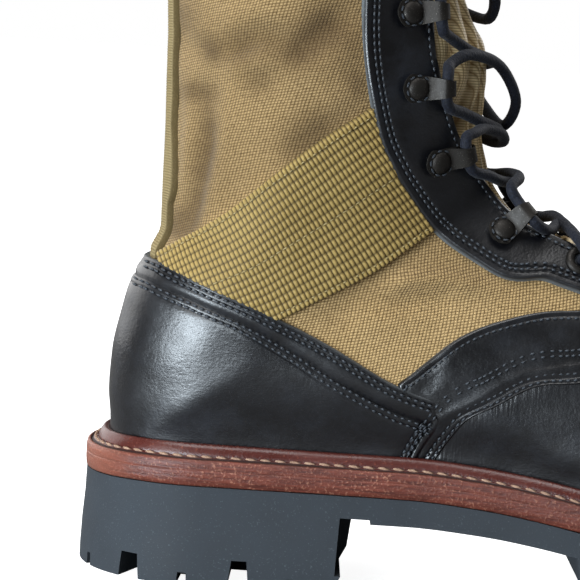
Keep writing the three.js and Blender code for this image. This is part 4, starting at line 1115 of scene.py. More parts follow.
def leather_of(name, dark, light, rough):
    """Smooth leather: a fine grain of small cells, slack wrinkles, soft pull marks, a paler worn border."""
    made, tree, shader = finish_of(name, rough, 0.8)
    place = node(tree, "TexCoord").outputs["Object"]
    grain = {"Vector": place, "Scale": 1500.0}
    cells = node(tree, "TexVoronoi", grain, feature="SMOOTH_F1").outputs["Distance"]
    slant = {"Vector": place, "Rotation": (0, 0.45, 0), "Scale": (560, 560, 2200)}
    slack = node(tree, "Mapping", slant).outputs[0]
    drape = {"Vector": slack, "Scale": 1.0, "Detail": 3.0, "Roughness": 0.6}
    wrinkles = node(tree, "TexNoise", drape).outputs[0]
    fine = noise_of(tree, 2600, 3.0)
    broad = noise_of(tree, 70, 5.0, 0.62)
    wear_and_rib_shade = node(tree, "Attribute", attribute_name="wear_and_rib_shade").outputs["Fac"]
    tone = blend(tree, ranged(tree, broad, 0.36, 0.68), dark, light)
    fleck = ranged(tree, fine, 0.62, 0.8, 0.0, 0.25)
    clouds = noise_of(tree, 42, 6.0, 0.7)
    scuffs = ranged(tree, clouds, 0.5, 0.74, 0.0, 0.4)
    flecked = blend(tree, scuffs, blend(tree, fleck, tone, tint(78, 84, 92)), tint(46, 50, 58))
    rub = maths(tree, "MULTIPLY", wear_and_rib_shade, ranged(tree, broad, 0.25, 0.75, 0.5, 1.0))
    tree.links.new(blend(tree, rub, flecked, tint(102, 108, 112)), shader.inputs["Base Color"])
    gloss = ranged(tree, broad, 0.3, 0.7, rough - 0.06, rough + 0.08)
    tree.links.new(maths(tree, "MULTIPLY_ADD", wear_and_rib_shade, 0.25, gloss), shader.inputs["Roughness"])
    strokes = node(tree, "Mapping", {"Vector": place, "Scale": (1300, 500, 160)}).outputs[0]
    pulls = node(tree, "TexNoise", {"Vector": strokes, "Scale": 1.0, "Detail": 1.0}).outputs[0]
    pulled = node(tree, "Attribute", attribute_name="pulled").outputs["Fac"]
    drawn = maths(tree, "MULTIPLY", pulls, pulled)
    relief = None
    for height, depth, strength in ((cells, 0.00005, 0.6), (wrinkles, 0.00005, 0.7), (drawn, 0.0003, 0.8)):
        under = {"Normal": relief} if relief else {}
        layer = {"Height": height, "Distance": depth, "Strength": strength, **under}
        relief = node(tree, "Bump", layer).outputs[0]
    bumped(tree, shader, broad, 0.0007, 0.5, relief)
    return made


black_leather = leather_of("black_leather", tint(5, 5, 8), tint(13, 14, 19), 0.34)
dark_thread_and_gap_shade, tree, shader = finish_of("dark_thread_and_gap_shade", 0.5, 0.5)
thread_mottle = noise_of(tree, 3000, 1.0)
# partly painted highlight: pale grey flecks on the black thread stand in for the sheen on its twists
tree.links.new(blend(tree, thread_mottle, tint(14, 16, 19), tint(76, 82, 90)), shader.inputs["Base Color"])

JOIN_Z = height_on(counter_row, along_last(0.332))
row_back = from_back([p for p in counter_row if p[0] < along_last(0.332)] + [(along_last(0.332), JOIN_Z)])
join_low = between(arch_join[::-1], feather(along_last(0.297)), JOIN_Z, 1)
counter_at = patch(
    runner(back_between(feather(BACK_X), row_back[0][1])),
    runner(join_low),
    runner(foot_line(HEEL_X, join_low[0][0])),
    runner(row_back),
)
COUNTER_PROUD = 0.0003
COUNTER_ROWS = (0.0010, 0.0026)
JOIN_ROWS = (0.0012, 0.0026)
# leather sheets start a little inside the shell, so that no slit shows under their edges
SUNK = 0.0003


def counter_height(side, x, z, near, far, low, high):
    dents = troughs(high, COUNTER_ROWS) + troughs(far, JOIN_ROWS)
    swell = 0.0005 * noise.noise(Vector((x * 30, z * 30, side)))
    return (SKIN + COUNTER_PROUD) * rounded(min(high, far), 0.0011) - dents - SUNK + swell


counter_mesh = laid(
    counter_at,
    marks(60, low_edge=False, power=2.0, high_rows=JOIN_ROWS),
    marks(34, low_edge=False, high_rows=COUNTER_ROWS),
    counter_height,
)
piece("heel_counter", counter_mesh, [black_leather], "black_leather", "counter")

# Counter band: the upper strip of the counter, black leather cut to a slim point at the waist. It laps over
# the tape, the canvas and the back seam and is sewn down along its upper edge with two rows.
top_back = from_back([p for p in counter_top if p[0] < along_last(0.333)])
band_low = from_back([(x, z - 0.0022) for x, z in counter_row if x < along_last(0.344)])
band_at = patch(
    runner(back_between(band_low[0][1], top_back[0][1])),
    runner([band_low[-1], top_back[-1]]),
    runner(band_low),
    runner(top_back),
)


BAND_ROWS = (0.0017, 0.0031)
LAP_PROUD = 0.0004


def band_height(side, x, z, near, far, low, high):
    under = 0.0009 * (1 - ease((low - 0.0010) / 0.0028))
    full = (SKIN + LAP_PROUD) * rounded(min(high, far + 0.0004), 0.0008)
    return full - troughs(high, BAND_ROWS) - under - SUNK


def edge_worn(side, x, z, near, far, low, high):
    return 1 - ease(high / 0.0008)


band_mesh = laid(
    band_at,
    marks(110, low_edge=False, power=1.6),
    marks(9, low_edge=False, high_rows=BAND_ROWS),
    band_height,
    wear_and_rib_shade=edge_worn,
)
piece("counter_strip", band_mesh, [black_leather], "black_leather", "counter_band")

# Vamp strap: a bowed piece of black leather between counter, facing and toe, laid over the instep. Two pairs
# of rows follow its bow and sew it to the vamp, and one row follows its upper edge.
STRAP_TOP = (
    (0.289, 0.256),
    (0.304, 0.27),
    (0.318, 0.285),
    (0.344, 0.311),
    (0.369, 0.328),
    (0.399, 0.341),
    (0.432, 0.351),
    (0.471, 0.355),
    (0.51, 0.358),
    (0.6, 0.352),
    (0.68, 0.36),
)
STRAP_LOW = (
    (0.315, 0.1),
    (0.333, 0.155),
    (0.35, 0.195),
    (0.366, 0.221),
    (0.392, 0.237),
    (0.422, 0.258),
    (0.443, 0.266),
    (0.475, 0.27),
    (0.54, 0.285),
    (0.6, 0.315),
    (0.66, 0.36),
)
STAY_REAR = (
    (0.232, 1.1),
    (0.229, 0.82),
    (0.229, 0.7),
    (0.235, 0.629),
    (0.252, 0.551),
    (0.267, 0.514),
    (0.287, 0.479),
    (0.31, 0.446),
    (0.331, 0.424),
    (0.362, 0.403),
    (0.389, 0.387),
    (0.409, 0.384),
    (0.431, 0.387),
    (0.45, 0.381),
    (0.471, 0.374),
    (0.51, 0.362),
    (0.6, 0.35),
)
strap_top = placed_line(STRAP_TOP)
strap_low = placed_line(STRAP_LOW)
stay_rear = placed_line(STAY_REAR)


def to_crest(line):
    """A line of points, cut where it reaches the crest line of the foot."""
    kept = []
    for p in line:
        if p[0] > PIVOT_X and p[1] >= crest_line(p[0]) - 0.0002:
            break
        kept.append(p)
    end = kept[-1][0] + 0.002
    return kept + [(end, crest_line(end))]


low_edge = to_crest(between(strap_low, feather(along_last(0.318)), 1.0, 1))
high_edge = [p for p in strap_top if p[0] < along_last(0.5)]
high_edge += [p for p in stay_rear if p[0] > along_last(0.512)]
rear_foot = between(arch_join[::-1], feather(along_last(0.297)), level_at(0.225), 1)
high_edge = to_crest(
    [(x - 0.0006, z) for x, z in rear_foot] + [(along_last(0.292), level_at(0.249))] + high_edge[1:]
)
low_line, high_line = runner(low_edge[::-1]), runner(high_edge[::-1])
strap_at = patch(
    runner([low_edge[-1], high_edge[-1]]), runner([low_edge[0], high_edge[0]]), low_line, high_line
)


STRAP_ROWS = (0.0014, 0.0032)
STRAP_TOP_ROW = 0.0025
BOW_RIDGE = 0.0065


def strap_height(side, x, z, near, far, low, high):
    dents = troughs(high, (STRAP_TOP_ROW,)) + troughs(low, STRAP_ROWS)
    ridge = 0.0005 * math.exp(-(((low - BOW_RIDGE) / 0.0014) ** 2))
    under_strip = ease((along_last(0.342) - x) / 0.006) * ease((0.012 - high) / 0.006)
    return (SKIN + LAP_PROUD) * rounded(min(low, high)) - dents + ridge - SUNK - 0.0005 * under_strip


def strap_worn(side, x, z, near, far, low, high):
    return 0.6 - 0.6 * ease(high / 0.0006) if x > along_last(0.3) else 0.0


strap_mesh = laid(
    strap_at,
    marks(120, low_edge=False, high_edge=False, power=1.35),
    marks(22, low_rows=(0.0014, 0.0030), high_rows=(0.0022,)),
    strap_height,
    wear_and_rib_shade=strap_worn,
)
piece("vamp_strap_piece", strap_mesh, [black_leather], "black_leather", "vamp_strap")

# Vamp: one smooth piece of black leather pulled over the toe and lasted under it. The strap is sewn over its
# rear edge, and short pull marks stand in it there.
VAMP_ROWS = 70
VAMP_COLUMNS = 72
vamp_mesh = bmesh.new()
pulled_layer = vamp_mesh.verts.layers.float.new("pulled")
grid = bmesh.ops.create_grid(
    vamp_mesh, x_segments=2 * VAMP_COLUMNS, y_segments=VAMP_ROWS, size=0.5
)["verts"]
tucked = [(x - 0.0022, z + 0.0016) for x, z in low_edge[:-1]]
tucked_foot = (tucked[0][0], feather(tucked[0][0]))
tucked_crest = (low_edge[-1][0] - 0.0025, low_edge[-1][1])
vamp_edge = runner([tucked_foot] + tucked + [tucked_crest])


def foot_share(x, z):
    top = crest_line(max(x, PIVOT_X))
    return clamp((top - z) / (top - feather(x)), 0, 1)


vamp_depth = {}
for vert in grid:
    i = round((vert.co.x + 0.5) * 2 * VAMP_COLUMNS) - VAMP_COLUMNS
    j = round((vert.co.y + 0.5) * VAMP_ROWS)
    around = 1 - (abs(i) / VAMP_COLUMNS) ** 1.5
    x0, z0 = vamp_edge(around)
    t = 1 - (1 - j / VAMP_ROWS) ** 1.8
    x = mix(x0, TOE_X - 0.00005, t)
    first = foot_share(x0, z0) if abs(i) else 0.0
    share = mix(first, (abs(i) / VAMP_COLUMNS) ** 1.3, ease(t * 1.6))
    top = crest_line(max(x, PIVOT_X))
    z = mix(top, feather(x), share)
    vert.co = on_shell(1 if i > 0 else -1, x, z)
    vamp_depth[vert] = x - x0
outward(vamp_mesh, grid)
ways = {v: v.normal.copy() for v in grid}
for vert in grid:
    depth = vamp_depth[vert]
    pull = noise.noise(Vector((vert.co.x * 40, vert.co.y * 160, vert.co.z * 160)))
    near_seam = ease(depth / 0.003)
    vert[pulled_layer] = math.exp(-max(depth - 0.002, 0) / 0.006)
    uneven = 0.0004 * pull * ease((depth - 0.003) / 0.004)
    vert.co += ways[vert] * (SKIN * mix(0.55, 1.0, near_seam) + uneven - SUNK)
bmesh.ops.remove_doubles(vamp_mesh, verts=vamp_mesh.verts, dist=0.00002)
piece("toe_vamp", vamp_mesh, [black_leather], "black_leather", "vamp")

# Facings: the two black leather strips beside the throat that carry loops and eyelets. They lap over the tape
# and the strap with a pale cut edge and a double row behind, and a single row in front.
throat_line = between(throat, -1.0, along_last(0.555))
collar_throat = max(k for k, p in enumerate(throat_line) if p[1] > collar(p[0]))
throat_used = throat_line[collar_throat:]
throat_used[0] = (throat_used[0][0], collar(throat_used[0][0]))
stay_used = [p for p in stay_rear if p[1] < collar(p[0])]
stay_used = [(stay_used[0][0], collar(stay_used[0][0]))] + stay_used
stay_end = to_crest(stay_used)
front_edge = to_crest(throat_used)
last_x = stay_end[-1][0]
while front_edge[-1][0] < last_x - 0.003:
    x = front_edge[-1][0] + 0.002
    front_edge.append((x, crest_line(x)))
front_edge.append((last_x, crest_line(last_x)))
stay_at = patch(
    runner([stay_end[0], front_edge[0]]),
    runner([stay_end[-1], front_edge[-1]]),
    runner(stay_end),
    runner(front_edge),
)


STAY_ROWS = (0.0028, 0.0042)
STAY_FRONT_ROW = 0.0022


def stay_height(side, x, z, near, far, low, high):
    dents = troughs(low, STAY_ROWS, 0.0003) + troughs(high, (STAY_FRONT_ROW,), 0.0002)
    slack = 0.0004 * noise.noise(Vector((x * 60, z * 60, side + 3)))
    over_tape = 0.0010 * (1 - ease(low / 0.012))
    return (SKIN + over_tape) * min(rounded(low), rounded(high)) - dents + slack - SUNK


def stay_worn(side, x, z, near, far, low, high):
    return 1 - ease((low - 0.0001) / 0.00035)


for side, name in ((-1, "lateral"), (1, "medial")):
    stay_mesh = laid(
        stay_at,
        marks(130, high_edge=False),
        marks(20, low_rows=STAY_ROWS, high_rows=(STAY_FRONT_ROW,)),
        stay_height,
        side,
        stay_worn,
    )
    piece("facing_" + name, stay_mesh, [black_leather], "black_leather", "eyestay_" + name)

# Ankle tape: a wide ribbed webbing that crosses the ankle from counter to facing. Its cords lie in sixteen
# rows, and it is sewn down near both edges and along its middle.
WEBBING_TOP = (
    (-0.02, 0.37),
    (0.032, 0.383),
    (0.064, 0.409),
    (0.106, 0.445),
    (0.152, 0.495),
    (0.198, 0.54),
    (0.243, 0.579),
    (0.3, 0.635),
)
WEBBING_LOW = (
    (0.08, 0.2795),
    (0.12, 0.3),
    (0.168, 0.324),
    (0.194, 0.341),
    (0.249, 0.377),
    (0.275, 0.398),
    (0.316, 0.435),
    (0.37, 0.48),
)
CORD_PITCH = 0.00136
CORD_ROWS = 16
CORD_STEPS = 4
WEBBING_STAND = 0.0015
KNOT_RISE = 0.00058
webbing_cloth, tree, shader = finish_of("olive_webbing", 0.6, 0.3)
relief = node(tree, "Attribute", attribute_name="relief").outputs["Fac"]
patchy = noise_of(tree, 70, 3.0)
yarns = noise_of(tree, 3500, 1.0)
deep = blend(tree, patchy, tint(50, 36, 10), tint(62, 46, 16))
fair = blend(tree, patchy, tint(166, 138, 76), tint(188, 160, 96))
# painted shade: the colour darkens from the cords' tops into the gaps between them, with the yarns' own
# mottle
light = maths(tree, "MULTIPLY_ADD", yarns, 0.3, maths(tree, "SUBTRACT", relief, 0.15))
tree.links.new(blend(tree, light, deep, fair), shader.inputs["Base Color"])
shader.inputs["Sheen Weight"].default_value = 0.1
bumped(tree, shader, yarns, 0.00008, 0.6)
webbing_top = placed_line(WEBBING_TOP)
webbing_low = placed_line(WEBBING_LOW)
web_low = [p for p in webbing_low if p[0] < along_last(0.355)]
web_top = [p for p in webbing_top if p[0] > back_line(p[1]) + 0.0015]
STAY_SPOTS = 200
stay_edge = runner(stay_used)
stay_spots = [stay_edge(k / STAY_SPOTS) for k in range(STAY_SPOTS + 1)]


def stay_x(z):
    """Where the facing's rear edge is at a height."""
    return min(stay_spots, key=lambda spot: abs(spot[1] - z))[0]


def under_facing(line):
    """The part of a line of points up to a little way under the facing."""
    out = []
    for p in line:
        out.append(p)
        if p[0] > stay_x(p[1]) + 0.005:
            break
    return out


web_top = under_facing(web_top)
web_at = patch(
    runner([web_low[0], web_top[0]]), runner([web_low[-1], web_top[-1]]), runner(web_low), runner(web_top)
)
web_columns = int(web_at.widths[0] / CORD_PITCH) * CORD_STEPS
for side, name in ((-1, "lateral"), (1, "medial")):
    web_mesh = bmesh.new()
    relief_layer = web_mesh.verts.layers.float.new("relief")
    rows = CORD_ROWS * CORD_STEPS
    grid = bmesh.ops.create_grid(web_mesh, x_segments=web_columns, y_segments=rows, size=0.5)["verts"]
    for vert in grid:
        s, t = vert.co.x + 0.5, vert.co.y + 0.5
        x, z = web_at(s, t)
        vert.co = on_shell(side, x, z)
        vert.index = round(s * web_columns) * 1000 + round(t * rows)
    spots = {vert: divmod(vert.index, 1000) for vert in grid}
    outward(web_mesh, grid)
    ways = {v: v.normal.copy() for v in grid}
    for vert in grid:
        i, j = spots[vert]
        cord = abs(math.sin(math.pi * i / CORD_STEPS))
        swell = math.sin(math.pi * (j % CORD_STEPS) / CORD_STEPS) ** 0.3
        knot = cord ** 0.5 * (0.25 + 0.75 * swell)
        # the relief also colours the webbing, as painted shade in its gaps
        vert[relief_layer] = knot
        under_band = ease((height_on(counter_top, vert.co.x) - 0.0004 - vert.co.z) / 0.0015)
        under_stay = ease((vert.co.x - stay_x(vert.co.z) - 0.0004) / 0.0015)
        under_back = ease((back_line(vert.co.z) + 0.0034 - vert.co.x) / 0.0012)
        stand = WEBBING_STAND + KNOT_RISE * knot + folded(vert.co.x, vert.co.z) * 0.5
        if j in (0, rows):
            stand = -0.0002
        vert.co += ways[vert] * mix(stand, -0.0004, max(under_band, under_stay, under_back))
    piece("ankle_tape_" + name, web_mesh, [webbing_cloth], "webbing", "webbing_" + name)

# Backstay: a narrow ribbed tape of olive cotton, sewn over the back seam from the counter to the collar with
# a row near each edge.
BACKSTAY_SIDE = (
    (0.03, 0.37),
    (0.039, 0.415),
    (0.053, 0.462),
    (0.052, 0.512),
    (0.046, 0.57),
    (0.043, 0.7),
    (0.033, 1.1),
)
BINDING_HEIGHT = 0.014
BACK_RIB = 0.0008
BACK_REACH = 0.0026
BACK_ROW = 0.0017
stay_side = placed_line(BACKSTAY_SIDE)
back_top = collar(BACK_X) - BINDING_HEIGHT
back_low = height_on(counter_top, BACK_X + 0.006) - 0.002
side_part = [(max(x, back_line(z) + BACK_REACH), z) for x, z in between(stay_side, back_low, back_top, 1)]
backstay_at = patch(
    runner(back_between(back_low, back_top)),
    runner(side_part),
    runner([(back_line(back_low), back_low), side_part[0]]),
    runner([(back_line(back_top), back_top), side_part[-1]]),
)
rib_rows = int((back_top - back_low) / BACK_RIB) * 4


def backstay_height(side, x, z, near, far, low, high):
    rib = 0.00022 * abs(math.sin(math.pi * z / BACK_RIB))
    seam = troughs(far, (BACK_ROW,), 0.0004)
    tucked = ease((z - back_low) / 0.005)
    return (GAP + TAPE + rib) * rounded(far, 0.0006) * tucked - seam + folded(x, z) * 0.3 - 0.0002


# painted shade: the tape's colour darkens between its ribs and towards its sewn edge
def rib_relief(side, x, z, near, far, low, high):
    return (0.25 + 0.6 * abs(math.sin(math.pi * z / BACK_RIB))) * ease((far - 0.0003) / 0.0006)


back_cloth, tree, shader = finish_of("back_tape_cloth", 0.85, 0.2)
relief = node(tree, "Attribute", attribute_name="wear_and_rib_shade").outputs["Fac"]
patchy = noise_of(tree, 70, 3.0)
yarns = noise_of(tree, 3000, 1.0)
# painted shade between the ribs and at the sewn edge, with the yarns' own mottle
light = maths(tree, "MULTIPLY_ADD", yarns, 0.5, maths(tree, "SUBTRACT", relief, 0.25))
deep = blend(tree, patchy, tint(78, 64, 38), tint(90, 76, 46))
fair = blend(tree, patchy, tint(156, 138, 96), tint(172, 152, 110))
tree.links.new(blend(tree, light, deep, fair), shader.inputs["Base Color"])
bumped(tree, shader, yarns, 0.00008, 0.6)
backstay_mesh = laid(
    backstay_at,
    marks(12, low_edge=False, power=1.8, high_rows=(BACK_ROW,)),
    marks(rib_rows, low_edge=False, high_edge=False),
    backstay_height,
    wear_and_rib_shade=rib_relief,
)
piece("back_tape", backstay_mesh, [back_cloth], "webbing", "backstay")

# Collar binding: ribbed cotton tape folded over the raw top edge of the shaft and sewn through it. It runs
# from one facing round the back to the other.
BINDING_STEPS = 90
binding_mesh = bmesh.new()
relief_layer = binding_mesh.verts.layers.float.new("relief")
# the tape's way over the edge: reach from the shell and height over the collar
falls = [-BINDING_HEIGHT + k / 12 * (BINDING_HEIGHT - 0.001) for k in range(13)]
fold = [(GAP + TAPE, fall) for fall in falls]
for k in range(1, 10):
    turn = math.pi * k / 10
    fold.append(((WALL / 2 + GAP + TAPE) * math.cos(turn) - WALL / 2, 0.0016 * math.sin(turn)))
fold += [(-WALL - GAP - TAPE, fall) for fall in reversed(falls)]
grid = bmesh.ops.create_grid(
    binding_mesh, x_segments=2 * BINDING_STEPS, y_segments=len(fold) - 1, size=0.5
)["verts"]
for vert in grid:
    i = round((vert.co.x + 0.5) * 2 * BINDING_STEPS) - BINDING_STEPS
    j = round((vert.co.y + 0.5) * (len(fold) - 1))
    reach, lift = fold[j]
    share = (abs(i) / BINDING_STEPS) ** 1.8
    z = collar(mix(back_line(collar(BACK_X)), stay_used[0][0], share)) + min(lift, 0.0)
    x = mix(back_line(z) + 0.00002, stay_used[0][0] - 0.0006, share)
    at, out = surface(1 if i > 0 else -1, x, z, reach)
    rib = abs(math.sin(math.pi * i / 3))
    # the relief colours the tape, as painted shade between its ribs
    vert[relief_layer] = 0.3 + 0.5 * rib
    vert.co = at + Vector((0, 0, max(lift, 0.0))) + out * 0.0001 * rib


def facing_up(made, judged):
    """Turns a sheet over if the judged part of its faces looks down."""
    made.normal_update()
    if sum(face.normal.z for face in judged) < 0:
        bmesh.ops.reverse_faces(made, faces=made.faces)


facing_up(binding_mesh, binding_mesh.faces)
piece("collar_tape", binding_mesh, [webbing_cloth], "webbing", "collar_binding")

# Sole outline: seen from above it follows the last, and it is curved in at the waist on the inner side. Each
# layer of the sole is cut to it with its own reach.
OUTLINE_COUNT = 110


def sole_outline(reach):
    places = []
    for side in (-1, 1):
        steps = range(OUTLINE_COUNT) if side < 0 else range(OUTLINE_COUNT, 0, -1)
        for i in steps:
            x = mix(BACK_X, TOE_X, (1 - math.cos(math.pi * i / OUTLINE_COUNT)) / 2)
            toe = toe_round(x)
            half = plan_half[side](x) * rounding(x - BACK_X, HEEL_ROUND, HEEL_CURVE) * toe
            places.append((x, TOE_SHIFT * (1 - toe) + side * half))
    out = []
    for i, (x, y) in enumerate(places):
        (ax, ay), (bx, by) = places[i - 1], places[(i + 1) % len(places)]
        long = math.hypot(bx - ax, by - ay)
        out.append((x + (by - ay) / long * reach, y - (bx - ax) / long * reach))
    return out


def lofted(made, rings):
    """A tube through rings of places, each drawn out from the ring before it."""
    count = len(rings[0])
    verts = bmesh.ops.create_circle(made, cap_ends=False, segments=count, radius=1.0)["verts"]
    for vert, place in zip(verts, rings[0]):
        vert.co = place
    for ring in rings[1:]:
        edges = [made.edges.get((verts[i], verts[(i + 1) % count])) for i in range(count)]
        order = {vert: i for i, vert in enumerate(verts)}
        grown = bmesh.ops.extrude_edge_only(made, edges=edges)["geom"]
        verts = [None] * count
        for vert in (g for g in grown if isinstance(g, bmesh.types.BMVert)):
            for edge in vert.link_edges:
                other = edge.other_vert(vert)
                if other in order:
                    verts[order[other]] = vert
        for vert, place in zip(verts, ring):
            vert.co = place


def ring_at(reach, height):
    return [Vector((x, y, height(x, y))) for x, y in sole_outline(reach)]


# Welt: a storm welt of red-brown leather all the way round, its ridge standing up beside the upper. It is
# sewn to the midsole through a furrow in its flat edge with a pale heavy thread.
WELT_PROFILE = (
    (0.0007, 0.0),
    (SOLE_REACH + 0.00035, -0.0003),
    (SOLE_REACH + 0.0004, 0.0002),
    (SOLE_REACH + 0.0004, 0.0016),
    (SOLE_REACH + 0.0002, 0.0026),
    (SOLE_REACH - 0.0002, 0.0030),
    (SOLE_REACH - 0.0007, 0.0031),
    (SOLE_REACH - 0.0010, 0.0027),
    (SOLE_REACH - 0.0013, 0.0027),
    (SOLE_REACH - 0.0016, 0.0034),
    (SOLE_REACH - 0.0021, 0.0036),
    (SOLE_REACH - 0.0030, 0.0036),
    (0.0050, 0.0038),
    (0.0048, 0.0046),
    (0.0043, 0.0058),
    (0.0036, 0.0067),
    (0.0029, 0.0070),
    (0.0022, 0.0068),
    (0.0014, 0.0060),
    (0.0007, 0.0040),
    (0.0007, 0.0),
)


def on_seat(lift, wave=0.0):
    return lambda x, y: seat(x) + FEATHER + lift + wave * noise.noise(Vector((x * 45, y * 45, lift * 900)))


WAVY_OVER = 0.0032
RIDGE_WAVE = 0.0002
rings = []
for reach, lift in WELT_PROFILE:
    rings.append(ring_at(reach, on_seat(lift, RIDGE_WAVE if lift > WAVY_OVER else 0)))
welt_mesh = bmesh.new()
lofted(welt_mesh, rings)
welt_mesh.faces.index_update()
# bands of faces between the profile's places: the trimmed edge and the furrow have finishes of their own
EDGE_BANDS = range(1, 6)
FURROW_BANDS = range(6, 9)
for face in welt_mesh.faces:
    band = face.index // (2 * OUTLINE_COUNT)
    face.material_index = 1 if band in EDGE_BANDS else 2 if band in FURROW_BANDS else 0
bmesh.ops.remove_doubles(welt_mesh, verts=welt_mesh.verts, dist=0.00001)
bmesh.ops.recalc_face_normals(welt_mesh, faces=welt_mesh.faces)
welt_leather, tree, shader = finish_of("welt_leather", 0.34, 0.55)
broad = noise_of(tree, 55, 5.0, 0.6)
fine = noise_of(tree, 1400, 3.0)
tone = blend(tree, broad, tint(58, 22, 18), tint(98, 44, 36))
speck = ranged(tree, fine, 0.60, 0.74, 0.0, 0.5)
tree.links.new(blend(tree, speck, tone, tint(150, 84, 62)), shader.inputs["Base Color"])
tree.links.new(ranged(tree, broad, 0.3, 0.7, 0.2, 0.38), shader.inputs["Roughness"])
bumped(tree, shader, fine, 0.00012, 0.7)
# the flat edge is trimmed and stained together with the midsole's edge
midsole_leather, tree, shader = finish_of("midsole_leather", 0.45, 0.45)
place = node(tree, "TexCoord").outputs["Object"]
long_fibre = node(tree, "Mapping", {"Vector": place, "Scale": (110.0, 110.0, 1100.0)}).outputs[0]
strands = {"Vector": long_fibre, "Scale": 1.0, "Detail": 4.0, "Roughness": 0.65}
fibre = node(tree, "TexNoise", strands).outputs["Fac"]
broad = noise_of(tree, 38, 4.0, 0.6)
fine = noise_of(tree, 1300, 3.0)
tone = blend(tree, broad, tint(86, 36, 24), tint(134, 69, 53))
streak = ranged(tree, fibre, 0.34, 0.62)
dark = blend(tree, streak, tint(76, 34, 26), tone)
rub = ranged(tree, fine, 0.55, 0.72, 0.0, 0.6)
dull = ranged(tree, broad, 0.35, 0.7, 0.25, 1.0)
rubbed = blend(tree, maths(tree, "MULTIPLY", rub, dull), dark, tint(204, 146, 118))
along = node(tree, "SeparateXYZ", {0: place}).outputs[0]
# the edge's colour turns paler towards the heel's back
paler_at_heel_back = ranged(tree, along, -0.040, -0.022, 0.38, 0.0)
tree.links.new(blend(tree, paler_at_heel_back, rubbed, tint(184, 116, 92)), shader.inputs["Base Color"])
grainy = maths(tree, "MULTIPLY_ADD", fine, 0.8, fibre)
bumped(tree, shader, grainy, 0.00024, 0.8)
# painted shade: the furrow outside the thread is coloured dark for the shade that falls in it
shaded_furrow_leather, tree, shader = finish_of("shaded_furrow_leather", 0.6, 0.3)
furrow_mottle = noise_of(tree, 300, 3.0)
tree.links.new(blend(tree, furrow_mottle, tint(24, 12, 10), tint(58, 26, 20)), shader.inputs["Base Color"])
piece("storm_welt", welt_mesh, [welt_leather, midsole_leather, shaded_furrow_leather], "welt_leather", "welt")

# Midsole: a leather plate between welt and rubber, sewn to the one and cemented to the other. Its trimmed
# edge shows long fibres in red-brown stain.
MIDSOLE_PROFILE = (
    (0.0005, GAP),
    (SOLE_REACH - 0.0002, GAP - 0.0001),
    (SOLE_REACH + 0.0002, GAP + 0.0003),
    (SOLE_REACH + 0.0004, GAP + 0.0022),
    (SOLE_REACH + 0.0004, GAP + 0.0040),
    (SOLE_REACH + 0.0004, GAP + MIDSOLE_THICK + 0.0003),
    (0.0005, GAP + MIDSOLE_THICK),
)
EDGE_WAVE = 0.00015


def on_rubber(lift):
    return lambda x, y: seat(x) + lift + EDGE_WAVE * noise.noise(Vector((x * 60, y * 60, 1)))


midsole_mesh = bmesh.new()
lofted(midsole_mesh, [ring_at(reach, on_rubber(lift)) for reach, lift in MIDSOLE_PROFILE])
bmesh.ops.holes_fill(midsole_mesh, edges=[e for e in midsole_mesh.edges if e.is_boundary])
bmesh.ops.recalc_face_normals(midsole_mesh, faces=midsole_mesh.faces)
piece("leather_midsole", midsole_mesh, [midsole_leather], "midsole_leather", "midsole")

# Outsole: heel block, waist and forefoot moulded in one piece of dark rubber, with wide and narrow grooves.
# It is cemented under the midsole.
WAIST_RUBBER = 0.0079
HEEL_TREAD = 0.0082
FORE_TREAD = 0.0072
TREAD_WEAR = 0.0005
EDGE_FLARE = 0.0008
STEP_SLANT = 0.0015
GROOVE_WIDTH = 0.008
SPARE = 0.03
CUT_REACH = 0.12
BLOCK_LEVELS = (0.0, 0.004, 0.012, 0.02, HEEL_STACK, 0.06)
# start along and across, end along and across, widths at the floor and the ceiling, depth and the tread that
# it is a share of
GROOVES = (
    (0.021, 0.088, -0.038, 0.242, 0.38, 0.25, 0.45, HEEL_TREAD),
    (0.056, 0.132, 0.007, 0.484, 1.06, 0.69, 0.92, HEEL_TREAD),
    (0.087, 0.242, 0.082, 0.484, 0.5, 0.31, 0.45, HEEL_TREAD),
    (0.144, 0.132, 0.141, 0.484, 1.0, 0.56, 1, HEEL_TREAD),
    (0.194, 0.242, 0.196, 0.484, 0.5, 0.31, 0.45, HEEL_TREAD),
    (0.257, 0.132, 0.257, 0.549, 1.25, 1.12, 1.1, HEEL_TREAD),
    (0.521, 0.165, 0.896, 0.165, 0.62, 0.38, 0.9, FORE_TREAD),
    (0.639, -0.011, 0.66, 0.176, 0.62, 0.38, 0.7, FORE_TREAD),
    (0.778, -0.011, 0.757, 0.176, 0.62, 0.38, 0.7, FORE_TREAD),
    (0.549, 0.176, 0.528, 0.703, 0.88, 0.56, 0.9, FORE_TREAD),
    (0.604, 0.176, 0.59, 0.703, 0.88, 0.56, 0.9, FORE_TREAD),
    (0.66, 0.176, 0.653, 0.703, 0.88, 0.56, 0.9, FORE_TREAD),
    (0.715, 0.176, 0.715, 0.703, 0.88, 0.56, 0.9, FORE_TREAD),
    (0.771, 0.176, 0.778, 0.703, 0.88, 0.56, 0.9, FORE_TREAD),
    (0.826, 0.176, 0.847, 0.703, 0.88, 0.56, 0.9, FORE_TREAD),
    (0.878, 0.176, 0.931, 0.659, 0.88, 0.56, 0.9, FORE_TREAD),
    (0.917, 0.132, 1.021, 0.484, 0.88, 0.56, 0.9, FORE_TREAD),
)
waist_start = HEEL_LENGTH / 2
fore_start = along_last(0.482)


def under(x):
    share = ease((x - waist_start) / (1.2 * (fore_start - waist_start)))
    return seat(x) - mix(WAIST_RUBBER, BALL_STACK - FORE_TREAD, share)


def tread_line(x):
    return max(0.0, under(x) - FORE_TREAD - TREAD_WEAR)


